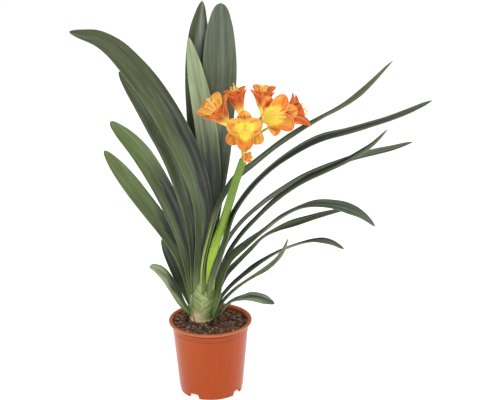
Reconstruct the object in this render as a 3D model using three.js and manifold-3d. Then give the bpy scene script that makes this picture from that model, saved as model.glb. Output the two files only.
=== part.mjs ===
// A flowering clivia in its plastic nursery pot.
// Millimetres, +Z up. The origin is the centre of the pot's foot, on the surface that the pot stands on.
// -Y is the front, the side that the broad faces of the left-hand leaves look towards.

import * as THREE from 'three';
import { mergeVertices } from 'three/addons/utils/BufferGeometryUtils.js';
import Module from 'manifold-3d';

const wasm = await Module();
wasm.setup();

// ---------------------------------------------------------------- driving dimensions

const GAP = 0.3; // clearance between pieces that touch

const POT = {
  height: 118,
  lipRadius: 65,
  mouthRadius: 59.5,
  lipHeight: 4,
  lipRound: 1.4,
  neckRadius: 60.4, // under the lip
  footRadius: 48.6,
  stepHeight: 9, // the foot steps in below this height
  stepDepth: 0.8,
  stepRise: 1,
  wall: 1.6,
  beadHeight: 101.5, // a fine raised ring round the body
  beadDepth: 0.4,
  beadRise: 1,
  padRadius: 16, // flat pad in the middle of the underside
  padTaper: 2,
  channelHeight: 7.5, // raised channel between the pad and the foot ring
  footRingWidth: 3,
  footRingTaper: 1,
  floorRound: 1.5, // the inside narrows by this much at its floor
  notchWidth: 17,
  notchDepth: 12,
  notchHeight: 7.2,
  notchBearings: [-34, 56, 146, 236], // degrees, anticlockwise from the front, seen from above
  drainRadius: 3.5,
  drainCircle: 32,
  drainCount: 6,
  drainFacets: 8,
  facets: 32,
};

// Rings of lumps lie at these shares of the pot's inner radius.
const SOIL = {
  level: 110,
  lumpHeight: 1.3,
  lumpRings: [0.93, 0.8, 0.64, 0.46],
  edgeDrop: 2,
  edgeInset: 0.6,
  seed: 7,
};

// The shaft of leaf bases: rings of an oval, as height, centre, half width and half depth.
const SHAFT = {
  y: 18,
  facets: 18,
  rings: [
    { z: 93, x: -14, halfWidth: 14, halfDepth: 13 },
    { z: 102, x: -14, halfWidth: 18, halfDepth: 16.5 },
    { z: 110, x: -14, halfWidth: 18.2, halfDepth: 17 },
    { z: 118, x: -13.5, halfWidth: 18.8, halfDepth: 17 },
    { z: 126, x: -12.5, halfWidth: 19.8, halfDepth: 17 },
    { z: 134, x: -11.5, halfWidth: 21, halfDepth: 17 },
    { z: 142, x: -10.5, halfWidth: 21.8, halfDepth: 17.5 },
    { z: 150, x: -10, halfWidth: 22, halfDepth: 17.5 },
    { z: 158, x: -10, halfWidth: 20.5, halfDepth: 17.5 },
    { z: 165, x: -10.5, halfWidth: 17.5, halfDepth: 16.5 },
    { z: 172, x: -10.5, halfWidth: 13.5, halfDepth: 14.5 },
    { z: 179, x: -10, halfWidth: 9, halfDepth: 11 },
  ],
  topZ: 184,
  sheathPitch: 11, // height from one sheath's edge to the next
  sheathStep: 0.7,
  sheathSlant: 9, // how much higher its edge is at the sides than at the front
};

const BLADE = {
  stations: 13,
  shortStations: 9, // on leaves shorter than shortLength
  shortLength: 250,
  rootThickness: 1.6,
  ribThickness: 2.2,
  edgeThickness: 1.0,
  tipThickness: 0.9,
  leastHalfWidth: 0.8,
  thinning: 1.5, // how fast the thickness falls off from the rib to the edge
  folding: 1.3, // 1 would fold a blade to a sharp V
  fullWidthAt: 0.55, // shares of the length
  ribFullAt: 0.3,
  tipThinsFrom: 0.85,
  crowding: 1.35, // stations lie closer together towards the tip
  socketStations: 4,
};

// Each leaf: its midrib's points from the root in the shaft to the tip, its greatest width, how much of
// that it has at the root, how far it is turned towards the front (degrees, in even steps from root to
// tip), its V-fold at the root, middle and tip in degrees, and the share of its length that narrows to
// the tip. A bluntness of 0.5 gives a round tip and 1 a pointed one. rank is -1 on the left and 1 on
// the right.
const LEAVES = [
  {
    name: 'leaf_left_1', rank: -1, width: 42, rootShare: 0.42,
    midrib: [[-18, 8, 160], [-14, 8, 212], [-9, 8, 259], [-9, 5, 309], [-23, -3, 373], [-52, -7, 443],
      [-97, -10, 518], [-149, -12, 573], [-200, -14, 588]],
    turn: [82, 80, 85], fold: [12, 15, 6], taper: 0.36, bluntness: 0.6,
  },
  {
    name: 'leaf_left_2', rank: -1, width: 36, rootShare: 0.44,
    midrib: [[-22, 12, 157], [-22, 12, 204], [-21, 11.5, 250], [-29, 12, 305], [-50, 9, 379], [-72, 8, 427],
      [-97, 8, 473], [-130, 8, 520]],
    turn: [75, 78, 80], fold: [11, 16, 8], taper: 0.3, bluntness: 0.6,
  },
  {
    name: 'leaf_left_3', rank: -1, width: 32, rootShare: 0.46,
    midrib: [[-25, 17, 148], [-31, 18, 193], [-38, 18, 239], [-54, 18, 292], [-80, 19, 349], [-108, 20, 395],
      [-147, 22, 437]],
    turn: [75, 78, 80], fold: [15, 16, 8], taper: 0.3, bluntness: 0.5,
  },
  {
    name: 'leaf_left_4', rank: -1, width: 30, rootShare: 0.46,
    midrib: [[-27, 22, 138], [-36, 24, 182], [-46, 27, 217], [-68, 29, 258], [-95, 31, 296], [-130, 33, 346],
      [-159, 35, 386]],
    turn: [75, 75, 75], fold: [15, 20, 10], taper: 0.32, bluntness: 0.55,
  },
  {
    name: 'leaf_left_5', rank: -1, width: 24, rootShare: 0.55,
    midrib: [[-25, 26, 122], [-37, 31, 151], [-46, 35, 173], [-57, 38, 201], [-74, 42, 238]],
    turn: [70, 70, 70], fold: [15, 12, 6], taper: 0.4, bluntness: 0.55,
  },
  {
    name: 'leaf_left_6', rank: -1, width: 19, rootShare: 0.45,
    midrib: [[-25, 13, 117], [-41, 8, 135], [-51, 5, 155], [-62, 2, 178], [-73, -2, 197], [-85, -6, 208],
      [-93, -9, 210]],
    turn: [45, 50, 50], fold: [15, 12, 6], taper: 0.3, bluntness: 0.5,
  },
  {
    name: 'leaf_centre_1', rank: -1, width: 43, rootShare: 0.42,
    midrib: [[-10, 27, 153], [-9, 31, 201], [-6, 34, 262], [-6, 37, 335], [-10, 40, 416], [-12, 43, 503],
      [-10, 46, 572], [-4, 48, 617]],
    turn: [78, 82, 85], fold: [15, 14, 8], taper: 0.3, bluntness: 0.65,
  },
  {
    name: 'leaf_centre_2', rank: -1, width: 53, rootShare: 0.34,
    midrib: [[-7, 21, 155], [-5, 23, 205], [-1, 25, 265], [5, 27, 339], [14, 29, 427], [20, 31, 506],
      [22, 32, 576], [24, 33, 617]],
    turn: [78, 82, 85], fold: [12, 10, 6], taper: 0.26, bluntness: 0.45,
  },
  {
    name: 'leaf_centre_3', rank: -1, width: 34, rootShare: 0.45,
    midrib: [[-8, 16.5, 160], [-4, 17, 211], [1, 17, 274], [4, 17, 350], [-3, 18, 439], [-15, 20, 509],
      [-25, 22, 568]],
    turn: [78, 82, 80], fold: [9, 9, 8], taper: 0.35, bluntness: 0.65,
  },
  {
    name: 'leaf_right_1', rank: 1, width: 34, rootShare: 0.28,
    midrib: [[-11, 0, 159], [-11.5, -7, 192], [-3, -13, 240], [11, -12, 292], [30, 8, 331], [61, 11, 358],
      [104, 11, 395], [158, 10, 432], [224, 8, 473], [281, 6, 533]],
    turn: [36, 26, 18, 8, 0, -3, -8, 4, 8], fold: [8, 10, 6], taper: 0.3, bluntness: 0.75,
  },
  {
    name: 'leaf_right_2', rank: 1, width: 36, rootShare: 0.36,
    midrib: [[-4, 2, 154], [1, -7, 177], [5.5, -13, 193.5], [13, -16, 218], [22.3, -17, 241.5],
      [32.6, -16, 270], [40.8, -9, 297], [59, 3, 321], [95, 13, 356], [128, 17, 379.5], [173, 19, 404],
      [218, 20, 416], [294, 22, 441], [343, 24, 464]],
    turn: [42, 36, 14, 1, -2, 2, -2, 0, 18], fold: [10, 12, 8], taper: 0.3, bluntness: 0.7,
  },
  {
    name: 'leaf_right_3', rank: 1, width: 34, rootShare: 0.46,
    midrib: [[5, 29, 146.5], [11.5, 34, 178], [19, 35.5, 208], [35, 36, 244], [62, 37, 274],
      [97, 37, 303.5], [143, 39, 332], [189, 41.5, 352], [242, 44, 370], [281, 46, 379], [317, 48, 390]],
    turn: [30, 18, 2, -6, -4, -2, -2, 6, 14], fold: [10, 12, 8], taper: 0.35, bluntness: 0.7,
  },
  {
    name: 'leaf_right_4', rank: 1, width: 32, rootShare: 0.46,
    midrib: [[6, 18, 139.5], [12.5, 17.5, 171], [22, 17, 200.5], [38, 15, 233.5], [66, 9, 270.5],
      [112, 2, 318], [157, -4, 350], [202, -6, 372], [232, -7.5, 391], [253, -9, 407], [273, -10, 430]],
    turn: [30, 17, 4, -3, -4, -3, -4, 2, 11], fold: [10, 12, 8], taper: 0.35, bluntness: 0.7,
  },
  {
    name: 'leaf_right_5', rank: 1, width: 32, rootShare: 0.56,
    midrib: [[3, 8, 121], [7.5, 2, 132], [14, -3, 160.5], [22, -7, 196.5], [39, -10, 228], [73, -6, 254],
      [96, -1, 272], [127, 1, 294], [173, -2, 307], [220, -5, 298], [241, -6.5, 286], [256, -8, 272]],
    turn: [28, 26, 17, 5, -9, -13, 2, 24, 24], fold: [10, 12, 8], taper: 0.3, bluntness: 0.6,
  },
  {
    name: 'leaf_right_6', rank: 1, width: 28, rootShare: 0.62,
    midrib: [[4, 25.5, 125], [10.5, 27.5, 143], [20.5, 29, 171], [37, 32, 190], [65, 34, 218],
      [82, 36, 237], [112, 38, 252], [143, 41, 262], [189, 45, 275], [233, 48, 285]],
    turn: [30, 18, 6, -2, -16, 3, 2, 0, -1], fold: [10, 12, 8], taper: 0.4, bluntness: 0.8,
  },
  {
    name: 'leaf_right_7', rank: 1, width: 24, rootShare: 0.6,
    midrib: [[5.5, 21, 118], [11, 22, 129], [20, 23.5, 148], [41, 25, 169], [72, 27, 194], [116, 30, 220],
      [160, 32, 233], [188, 33, 231], [211, 34, 219]],
    turn: [22, 8, 0, 4, -4, -16, -15, 10, 28], fold: [10, 12, 8], taper: 0.35, bluntness: 0.6,
  },
  {
    name: 'leaf_right_8', rank: 1, width: 20, rootShare: 0.6,
    midrib: [[5.5, 8, 118], [11.5, 8, 128], [20, 6, 143], [40, 3, 165], [64, -1.5, 185], [89, -6, 203],
      [108, -10, 223], [118, -13, 242], [122, -16, 257]],
    turn: [22, 12, 5, -6, -6, 4, 5, 14, 19], fold: [10, 12, 8], taper: 0.4, bluntness: 0.6,
  },
  {
    name: 'leaf_right_9', rank: 1, width: 24, rootShare: 0.36,
    midrib: [[1, 17, 110], [11, 16, 115], [23, 13, 130], [33, 8, 142], [47, 3, 149], [65, -3, 155],
      [83, -8, 153], [101, -13, 147]],
    turn: [7, 4, 1, -8, -10, 5, 20, 30, 11], fold: [6, 10, 6], taper: 0.35, bluntness: 0.5,
  },
];

// The flowering stalk: a flat stem that leans to the right and ends in a knob that carries the flowers.
const STALK = {
  halfWidth: 7.5,
  halfDepth: 4.5,
  narrowing: 1.5,
  sides: 8,
  stations: 9,
  path: [[-0.5, 8, 164], [1.5, 7, 184], [4, 4, 214], [11, 0, 245], [21, -7, 276], [32, -15, 314],
    [43, -18, 352], [55, -21, 388]],
  pedicelRoot: -3, // below the top of the stem
  pedicelRise: 0.4, // shares of a pedicel's span that it keeps its direction for at each end
  pedicelRun: 0.3,
  pedicelSides: 5,
  longPedicel: 20, // with more stations than a short one
  pedicelRadius: 2,
  ovaryRadius: 3.2,
  ovaryLength: 10,
  ovaryRoundness: 2.4,
};

// Each flower: the foot of its tube, the way it faces, its length, how wide it opens and its turn about
// its own axis in degrees.
const FLOWERS = [
  { foot: [35.5, -18, 438.5], faces: [-0.56, -0.22, 0.8], length: 57, opening: 0.85, spin: 62 },
  { foot: [53.5, -7, 449.5], faces: [-0.24, 0.12, 0.97], length: 51, opening: 0.68, spin: 30 },
  { foot: [58.5, -24, 437.5], faces: [-0.02, -0.97, 0.21], length: 51, opening: 0.92, spin: 30 },
  { foot: [86, -16, 451.5], faces: [0.48, -0.78, 0.37], length: 55, opening: 0.96, spin: 93 },
  { foot: [84, -2, 449.5], faces: [0.03, 0.15, 0.97], length: 52, opening: 0.62, spin: 0 },
  { foot: [106, -3, 439], faces: [0.86, 0.12, 0.43], length: 51, opening: 0.88, spin: 100 },
  { foot: [60, -29, 399], faces: [0.05, -0.98, 0.12], length: 24, opening: 0.7, spin: 0, withered: true },
];

// Where the points of a blade's section lie across it, from edge to edge.
const COLUMNS = [-1, -0.5, 0, 0.5, 1];

// Petals are sized for a flower of this length and scaled with it. The midribs are [radius, height] pairs.
const PETAL = {
  flowerLength: 50,
  stations: 5,
  thickness: 1,
  cup: 0.12,
  rootShare: 0.24,
  fullWidthAt: 0.6, // shares of the length
  narrowsFrom: 0.55,
  crowding: 1.6,
  flareRise: 4,
  greatestWrap: 1, // radians, so that three like petals stay clear of each other
  inner: {
    width: 31, midrib: [[4, 10], [9.5, 19], [15, 30], [21, 39], [27.5, 44]], columns: COLUMNS,
  },
  outer: {
    width: 24, midrib: [[5.1, 10], [10.8, 18], [17, 28.5], [23.5, 37], [29.5, 41.5]], columns: [-1, 0, 1],
  },
};
const TUBE_FACETS = 6;
const TUBE_PROFILE = [[0, 0], [2.8, 0], [3.6, 6], [5.4, 12], [3.6, 12.2], [2.4, 6.5], [0, 4.5]];

// Six stamens and, in their middle, the style.
const STAMEN = {
  count: 6,
  hubRadius: 1.5,
  hubFoot: 6.4,
  hubTop: 8.8,
  rootDepth: 1.2,
  rootRadius: 0.8,
  radius: 0.55,
  sides: 3,
  spread: 7.5,
  reach: 47,
  shorter: 3, // every second one
  bendAt: 0.55,
  bendOut: 0.35,
  firstBearing: 0.3,
  antherHalfWidth: 1.1,
  antherHalfLength: 2.4,
  styleReach: 53,
  styleLean: 1,
  stigma: 0.9,
};

// ---------------------------------------------------------------- materials

const material = (color, roughness) => new THREE.MeshStandardMaterial({ color, roughness, metalness: 0 });
const TERRACOTTA = material('#bd5a33', 0.4);
const EARTH = material('#3a2a20', 0.95);
const SHEATH = material('#8ea265', 0.55);
const LEAF_GREEN = material('#5c7146', 0.45);
const LEAF_DARK = material('#454b3c', 0.45);
const LEAF_YOUNG = material('#93a679', 0.5);
const STALK_GREEN = material('#8db24a', 0.5);
const ORANGE = material('#e2762f', 0.6);
const YELLOW = material('#efe07a', 0.6);

// ---------------------------------------------------------------- solids from meshes and back

function toSolid(geometry) {
  const bare = geometry.clone();
  bare.deleteAttribute('normal');
  bare.deleteAttribute('uv');
  const merged = mergeVertices(bare, 1e-4);
  return new wasm.Manifold(new wasm.Mesh({
    numProp: 3,
    vertProperties: new Float32Array(merged.attributes.position.array),
    triVerts: new Uint32Array(merged.index.array),
  }));
}

function toGeometry(solid) {
  const mesh = solid.getMesh();
  const geometry = new THREE.BufferGeometry();
  geometry.setAttribute('position', new THREE.BufferAttribute(mesh.vertProperties, 3));
  geometry.setIndex(new THREE.BufferAttribute(mesh.triVerts, 1));
  return geometry;
}

// Keeps the largest body and drops any loose scrap that a cut leaves.
function largestBody(solid) {
  const bodies = solid.decompose();
  return bodies.reduce((best, body) => (body.volume() > best.volume() ? body : best));
}

function signedVolume(points, faces) {
  const cross = new THREE.Vector3();
  const share = ([a, b, c]) => points[a].dot(cross.crossVectors(points[b], points[c])) / 6;
  return faces.reduce((sum, face) => sum + share(face), 0);
}

// Closes a row of rings, which have equal numbers of points, with a point at each end. leansBack(i)
// says which way quad i of each band is split.
function loft(rings, start, end, leansBack = () => false) {
  const count = rings[0].length;
  const points = [start, ...rings.flat(), end];
  const last = points.length - 1;
  const at = (ring, i) => 1 + ring * count + (i % count);
  const faces = [];
  for (let i = 0; i < count; i += 1) {
    faces.push([0, at(0, i + 1), at(0, i)]);
    faces.push([last, at(rings.length - 1, i), at(rings.length - 1, i + 1)]);
  }
  for (let ring = 0; ring + 1 < rings.length; ring += 1) {
    for (let i = 0; i < count; i += 1) {
      const [a, b, c, d] = [at(ring, i), at(ring, i + 1), at(ring + 1, i + 1), at(ring + 1, i)];
      if (leansBack(i)) faces.push([a, b, d], [b, c, d]);
      else faces.push([a, b, c], [a, c, d]);
    }
  }
  if (signedVolume(points, faces) < 0) faces.forEach((face) => face.reverse());
  const geometry = new THREE.BufferGeometry().setFromPoints(points);
  geometry.setIndex(faces.flat());
  return geometry;
}

// Turns a closed profile of [radius, height] pairs round the Z axis.
function turned(profile, facets) {
  const outline = profile.map(([radius, height]) => new THREE.Vector2(radius, height));
  const geometry = new THREE.LatheGeometry(outline, facets).rotateX(Math.PI / 2);
  const solid = toSolid(geometry);
  if (solid.volume() > 0) return solid;
  geometry.index.array.reverse();
  return toSolid(geometry);
}

// A repeatable random number from 0 to 1.
function randomFrom(seed) {
  let state = seed;
  return () => {
    state = (state * 16807) % 2147483647;
    return state / 2147483647;
  };
}

// The value at u, from 0 to 1, of a smooth line through evenly spaced values.
function along(values, u) {
  const place = u * (values.length - 1);
  const i = Math.min(Math.floor(place), values.length - 2);
  const t = THREE.MathUtils.smoothstep(place - i, 0, 1);
  return THREE.MathUtils.lerp(values[i], values[i + 1], t);
}

// ---------------------------------------------------------------- blades: leaves and petals

// One ring of a blade's section: the points of its upper face, then back along its lower face.
function bladeRing(section, grow = 0) {
  const { point, across, normal, halfWidth, fold, ribThickness, edgeThickness } = section;
  const onFace = (side) => COLUMNS.map((s) => {
    const reach = Math.abs(s);
    const thickness = THREE.MathUtils.lerp(ribThickness, edgeThickness, reach ** BLADE.thinning) + 2 * grow;
    const out = s * (halfWidth + grow) * Math.cos(fold);
    const up = reach ** BLADE.folding * halfWidth * Math.sin(fold) + side * thickness / 2;
    return point.clone().addScaledVector(across, out).addScaledVector(normal, up);
  });
  return [...onFace(1), ...onFace(-1).reverse()];
}

// Splits a blade's two faces alike, so that they stay the same distance apart.
const alikeOnBothFaces = (columnCount) => (i) => i >= columnCount;

// ---------------------------------------------------------------- leaves

const FRONT_TO_BACK = new THREE.Vector3(0, 1, 0);

// The width of a leaf at u, as a share of its greatest width.
function leafShare({ rootShare, taper, bluntness }, u) {
  const widening = THREE.MathUtils.lerp(rootShare, 1, THREE.MathUtils.smoothstep(u, 0, BLADE.fullWidthAt));
  const narrowing = Math.max((u - 1 + taper) / taper, 0);
  return widening * (1 - narrowing ** 2) ** bluntness;
}

function leafSection(leaf, u) {
  const point = leaf.curve.getPointAt(u);
  const tangent = leaf.curve.getTangentAt(u);
  const back = FRONT_TO_BACK.clone().addScaledVector(tangent, -tangent.y).normalize();
  const upper = tangent.clone().cross(back).multiplyScalar(leaf.rank);
  const turn = THREE.MathUtils.degToRad(along(leaf.turn, u));
  const normal = upper.multiplyScalar(Math.cos(turn)).addScaledVector(back, -Math.sin(turn));
  const tipNearness = THREE.MathUtils.smoothstep(u, BLADE.tipThinsFrom, 1);
  const rootFarness = THREE.MathUtils.smoothstep(u, 0, BLADE.ribFullAt);
  const rib = THREE.MathUtils.lerp(BLADE.rootThickness, BLADE.ribThickness, rootFarness);
  return {
    point,
    tangent,
    normal,
    across: normal.clone().cross(tangent),
    halfWidth: Math.max(leaf.width * leafShare(leaf, u) / 2, BLADE.leastHalfWidth),
    fold: THREE.MathUtils.degToRad(along(leaf.fold, u)),
    ribThickness: THREE.MathUtils.lerp(rib, BLADE.tipThickness, tipNearness),
    edgeThickness: THREE.MathUtils.lerp(BLADE.edgeThickness, BLADE.tipThickness, tipNearness),
  };
}

function leafSections(leaf) {
  const stations = leaf.curve.getLength() < BLADE.shortLength ? BLADE.shortStations : BLADE.stations;
  const places = Array.from({ length: stations }, (_, i) => 1 - (1 - i / stations) ** BLADE.crowding);
  return places.map((u) => leafSection(leaf, u));
}

function leafGeometry(leaf) {
  const sections = leafSections(leaf);
  const rings = sections.map((section) => bladeRing(section));
  const tip = leaf.curve.getPointAt(1);
  return loft(rings, sections[0].point.clone(), tip, alikeOnBothFaces(COLUMNS.length));
}

// The socket that a leaf's root fills in the shaft: its first stations, larger by the gap all round.
function leafSocket(leaf) {
  const sections = leafSections(leaf).slice(0, BLADE.socketStations);
  const root = sections[0];
  root.point.addScaledVector(root.tangent, -GAP);
  const rings = sections.map((section) => bladeRing(section, GAP));
  const [start, end] = [root.point.clone(), sections.at(-1).point.clone()];
  return toSolid(loft(rings, start, end, alikeOnBothFaces(COLUMNS.length)));
}

for (const leaf of LEAVES) {
  const points = leaf.midrib.map(([x, y, z]) => new THREE.Vector3(x, y, z));
  leaf.curve = new THREE.CatmullRomCurve3(points, false, 'centripetal');
  leaf.curve.arcLengthDivisions = 400;
}

// ---------------------------------------------------------------- pot and soil

function potRadiusAt(z) {
  const stepped = z < POT.stepHeight ? POT.stepDepth : 0;
  return THREE.MathUtils.lerp(POT.footRadius + POT.stepDepth, POT.neckRadius, z / POT.height) - stepped;
}

function potSolid() {
  const { height, lipRadius, mouthRadius, lipRound, stepHeight, stepRise, wall } = POT;
  const { beadHeight, beadRise, padRadius, channelHeight, footRadius } = POT;
  const under = height - POT.lipHeight;
  const ringInside = footRadius - POT.footRingWidth;
  const floor = channelHeight + wall;
  const onBody = (z, out = 0) => [potRadiusAt(z) + out, z];
  const profile = [
    [0, 0], [padRadius, 0], [padRadius + POT.padTaper, channelHeight],
    [ringInside - POT.footRingTaper, channelHeight], [ringInside, 0], [footRadius, 0],
    onBody(stepHeight - stepRise), onBody(stepHeight),
    onBody(beadHeight - beadRise), onBody(beadHeight, POT.beadDepth), onBody(beadHeight + beadRise),
    onBody(under), [lipRadius - lipRound, under], [lipRadius, under + lipRound],
    [lipRadius, height - lipRound], [lipRadius - lipRound, height],
    [mouthRadius + lipRound, height], [mouthRadius, height - lipRound], onBody(under, -wall),
    [potRadiusAt(stepHeight) - wall - POT.floorRound, floor], [0, floor],
  ];
  let pot = turned(profile, POT.facets);
  for (const bearing of POT.notchBearings) {
    const notch = new THREE.BoxGeometry(POT.notchWidth, POT.notchDepth, POT.notchHeight * 2);
    notch.translate(0, -footRadius, 0).rotateZ(THREE.MathUtils.degToRad(bearing));
    pot = pot.subtract(toSolid(notch));
  }
  for (let i = 0; i < POT.drainCount; i += 1) {
    const drain = new THREE.CylinderGeometry(POT.drainRadius, POT.drainRadius, floor, POT.drainFacets);
    drain.rotateX(Math.PI / 2).translate(POT.drainCircle, 0, floor);
    drain.rotateZ((i / POT.drainCount) * 2 * Math.PI);
    pot = pot.subtract(toSolid(drain));
  }
  return pot;
}

// Soil fills the pot to below the mouth, with a lumpy top and a hole for the shaft.
function soilSolid(shaft) {
  const random = randomFrom(SOIL.seed);
  const ring = (radius, heightAt) => Array.from({ length: POT.facets }, (_, i) => {
    const angle = (i / POT.facets) * 2 * Math.PI;
    return new THREE.Vector3(radius * Math.sin(angle), -radius * Math.cos(angle), heightAt());
  });
  const floor = POT.channelHeight + POT.wall + GAP;
  const lumpy = () => SOIL.level + SOIL.lumpHeight * (2 * random() - 1);
  const wallRadius = potRadiusAt(SOIL.level) - POT.wall - GAP;
  const rings = [
    ring(potRadiusAt(POT.stepHeight) - POT.wall - POT.floorRound - GAP, () => floor),
    ring(wallRadius - SOIL.edgeInset, () => SOIL.level - SOIL.edgeDrop),
    ...SOIL.lumpRings.map((share) => ring(wallRadius * share, lumpy)),
  ];
  const soil = toSolid(loft(rings, new THREE.Vector3(0, 0, floor), new THREE.Vector3(0, 0, SOIL.level)));
  return largestBody(soil.subtract(shaft));
}

// ---------------------------------------------------------------- the shaft of leaf bases

// Leaf bases wrap the shaft one over another, so that its surface steps in above each sheath's edge.
function sheathStep(z, angle) {
  const side = Math.sin(angle);
  const offset = side > 0 ? SHAFT.sheathPitch / 2 : 0;
  const phase = (z - SHAFT.sheathSlant * Math.abs(side) + offset) / SHAFT.sheathPitch;
  return SHAFT.sheathStep * (phase - Math.floor(phase));
}

function shaftSolid(grow = 0) {
  const [foot, head] = [SHAFT.rings[0], SHAFT.rings.at(-1)];
  const rings = SHAFT.rings.map((ring) => Array.from({ length: SHAFT.facets }, (_, i) => {
    const angle = (i / SHAFT.facets) * 2 * Math.PI;
    const out = grow - (ring.z > SOIL.level ? sheathStep(ring.z, angle) : 0);
    return new THREE.Vector3(
      ring.x + (ring.halfWidth + out) * Math.sin(angle),
      SHAFT.y - (ring.halfDepth + out) * Math.cos(angle),
      ring === foot ? ring.z - grow : ring.z,
    );
  }));
  const start = new THREE.Vector3(foot.x, SHAFT.y, foot.z - grow);
  return toSolid(loft(rings, start, new THREE.Vector3(head.x, SHAFT.y, SHAFT.topZ + grow)));
}

// ---------------------------------------------------------------- the flowering stalk

// A stem along a curve, with an oval section whose half sizes are given at u.
function stemGeometry(curve, halfSizesAt, sides, stations) {
  const rings = Array.from({ length: stations + 1 }, (_, i) => {
    const u = i / stations;
    const tangent = curve.getTangentAt(u);
    const back = FRONT_TO_BACK.clone().addScaledVector(tangent, -tangent.y).normalize();
    const across = back.clone().cross(tangent);
    const [halfWidth, halfDepth] = halfSizesAt(u);
    return Array.from({ length: sides }, (__, k) => {
      const angle = ((k + 0.5) / sides) * 2 * Math.PI;
      return curve.getPointAt(u)
        .addScaledVector(across, halfWidth * Math.cos(angle))
        .addScaledVector(back, halfDepth * Math.sin(angle));
    });
  });
  return loft(rings, curve.getPointAt(0), curve.getPointAt(1));
}

const vector = ([x, y, z]) => new THREE.Vector3(x, y, z);

function stalkStem(grow = 0) {
  const points = STALK.path.map(vector);
  points[0].z -= grow;
  const curve = new THREE.CatmullRomCurve3(points, false, 'centripetal');
  const halfSizes = (u) => [STALK.halfWidth - STALK.narrowing * u + grow, STALK.halfDepth + grow];
  return toSolid(stemGeometry(curve, halfSizes, STALK.sides, STALK.stations));
}

// A pedicel leaves the knob upwards and meets the flower's ovary along the flower's own axis.
function pedicelSolid({ foot, faces, length }) {
  const knob = vector(STALK.path.at(-1)).add(vector([0, 0, STALK.pedicelRoot]));
  const facing = vector(faces).normalize();
  const scale = length / PETAL.flowerLength;
  const end = vector(foot).addScaledVector(facing, -GAP);
  const ovaryFoot = end.clone().addScaledVector(facing, -STALK.ovaryLength * scale);
  const span = knob.distanceTo(ovaryFoot);
  const curve = new THREE.CubicBezierCurve3(
    knob,
    knob.clone().add(vector([0, 0, span * STALK.pedicelRise])),
    ovaryFoot.clone().addScaledVector(facing, -span * STALK.pedicelRun),
    ovaryFoot,
  );
  const path = new THREE.CurvePath();
  path.add(curve);
  path.add(new THREE.LineCurve3(ovaryFoot, end));
  const ovaryShare = (STALK.ovaryLength * scale) / path.getLength();
  const radiusAt = (u) => {
    const inOvary = Math.max((u - 1 + ovaryShare) / ovaryShare, 0);
    const swelling = Math.sin(inOvary * STALK.ovaryRoundness);
    return scale * THREE.MathUtils.lerp(STALK.pedicelRadius, STALK.ovaryRadius, swelling);
  };
  const stations = span > STALK.longPedicel ? 7 : 4;
  return toSolid(stemGeometry(path, (u) => [radiusAt(u), radiusAt(u)], STALK.pedicelSides, stations));
}

// ---------------------------------------------------------------- flowers

function flowerPlace({ foot, faces, length, spin }) {
  const up = new THREE.Vector3(0, 0, 1);
  const facing = new THREE.Quaternion().setFromUnitVectors(up, vector(faces).normalize());
  const turn = new THREE.Quaternion().setFromAxisAngle(up, THREE.MathUtils.degToRad(spin));
  const size = new THREE.Vector3().setScalar(length / PETAL.flowerLength);
  return new THREE.Matrix4().compose(vector(foot), facing.multiply(turn), size);
}

// A petal lies on a funnel round the flower's axis, so that its section is an arc. Its edges cup inwards.
function petalRing({ radius, z }, tangent, halfWidth, columns) {
  const onFace = (side) => columns.map((s) => {
    const angle = s * Math.min(halfWidth / radius, PETAL.greatestWrap);
    const inwards = side * PETAL.thickness / 2 + PETAL.cup * Math.abs(s) * halfWidth;
    const out = radius - tangent.z * inwards;
    return new THREE.Vector3(out * Math.cos(angle), out * Math.sin(angle), z + tangent.x * inwards);
  });
  return [...onFace(1), ...onFace(-1).reverse()];
}

function petalSolid({ width, midrib, columns }, opening, bearing) {
  const points = midrib.map(([radius, z]) => {
    const flare = THREE.MathUtils.smoothstep(z, midrib[0][1], midrib[1][1] + PETAL.flareRise);
    return new THREE.Vector3(radius * THREE.MathUtils.lerp(1, opening, flare), 0, z);
  });
  const curve = new THREE.CatmullRomCurve3(points, false, 'centripetal');
  const rings = Array.from({ length: PETAL.stations }, (_, i) => {
    const u = 1 - (1 - i / PETAL.stations) ** PETAL.crowding;
    const spread = THREE.MathUtils.smoothstep(u, 0, PETAL.fullWidthAt);
    const widening = THREE.MathUtils.lerp(PETAL.rootShare, 1, spread);
    const narrowing = Math.max((u - PETAL.narrowsFrom) / (1 - PETAL.narrowsFrom), 0);
    const halfWidth = (width / 2) * widening * Math.sqrt(1 - narrowing ** 2);
    const point = curve.getPointAt(u);
    return petalRing({ radius: point.x, z: point.z }, curve.getTangentAt(u), halfWidth, columns);
  });
  const geometry = loft(rings, points[0].clone(), curve.getPointAt(1), alikeOnBothFaces(columns.length));
  return toSolid(geometry.rotateZ(THREE.MathUtils.degToRad(bearing)));
}

function flowerSolid(flower) {
  let bloom = turned(TUBE_PROFILE, TUBE_FACETS);
  for (let i = 0; i < 3; i += 1) {
    bloom = bloom.add(petalSolid(PETAL.outer, flower.opening, 120 * i + 60));
    bloom = bloom.add(petalSolid(PETAL.inner, flower.opening, 120 * i));
  }
  return largestBody(bloom).transform(flowerPlace(flower).elements);
}

// A stem from the hub to a point that is out from the flower's axis at height top, with a rounded head.
function stamenSolid(root, out, top, headSize) {
  const path = new THREE.CatmullRomCurve3([
    vector([root, 0, STAMEN.hubTop - STAMEN.rootDepth]),
    vector([root > 0 ? STAMEN.bendOut * out : 0, 0, STAMEN.bendAt * top]),
    vector([out, 0, top]),
  ]);
  const filament = stemGeometry(path, () => [STAMEN.radius, STAMEN.radius], STAMEN.sides, 2);
  const head = new THREE.OctahedronGeometry(1).scale(...headSize).translate(out, 0, top);
  return toSolid(filament).add(toSolid(head));
}

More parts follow.
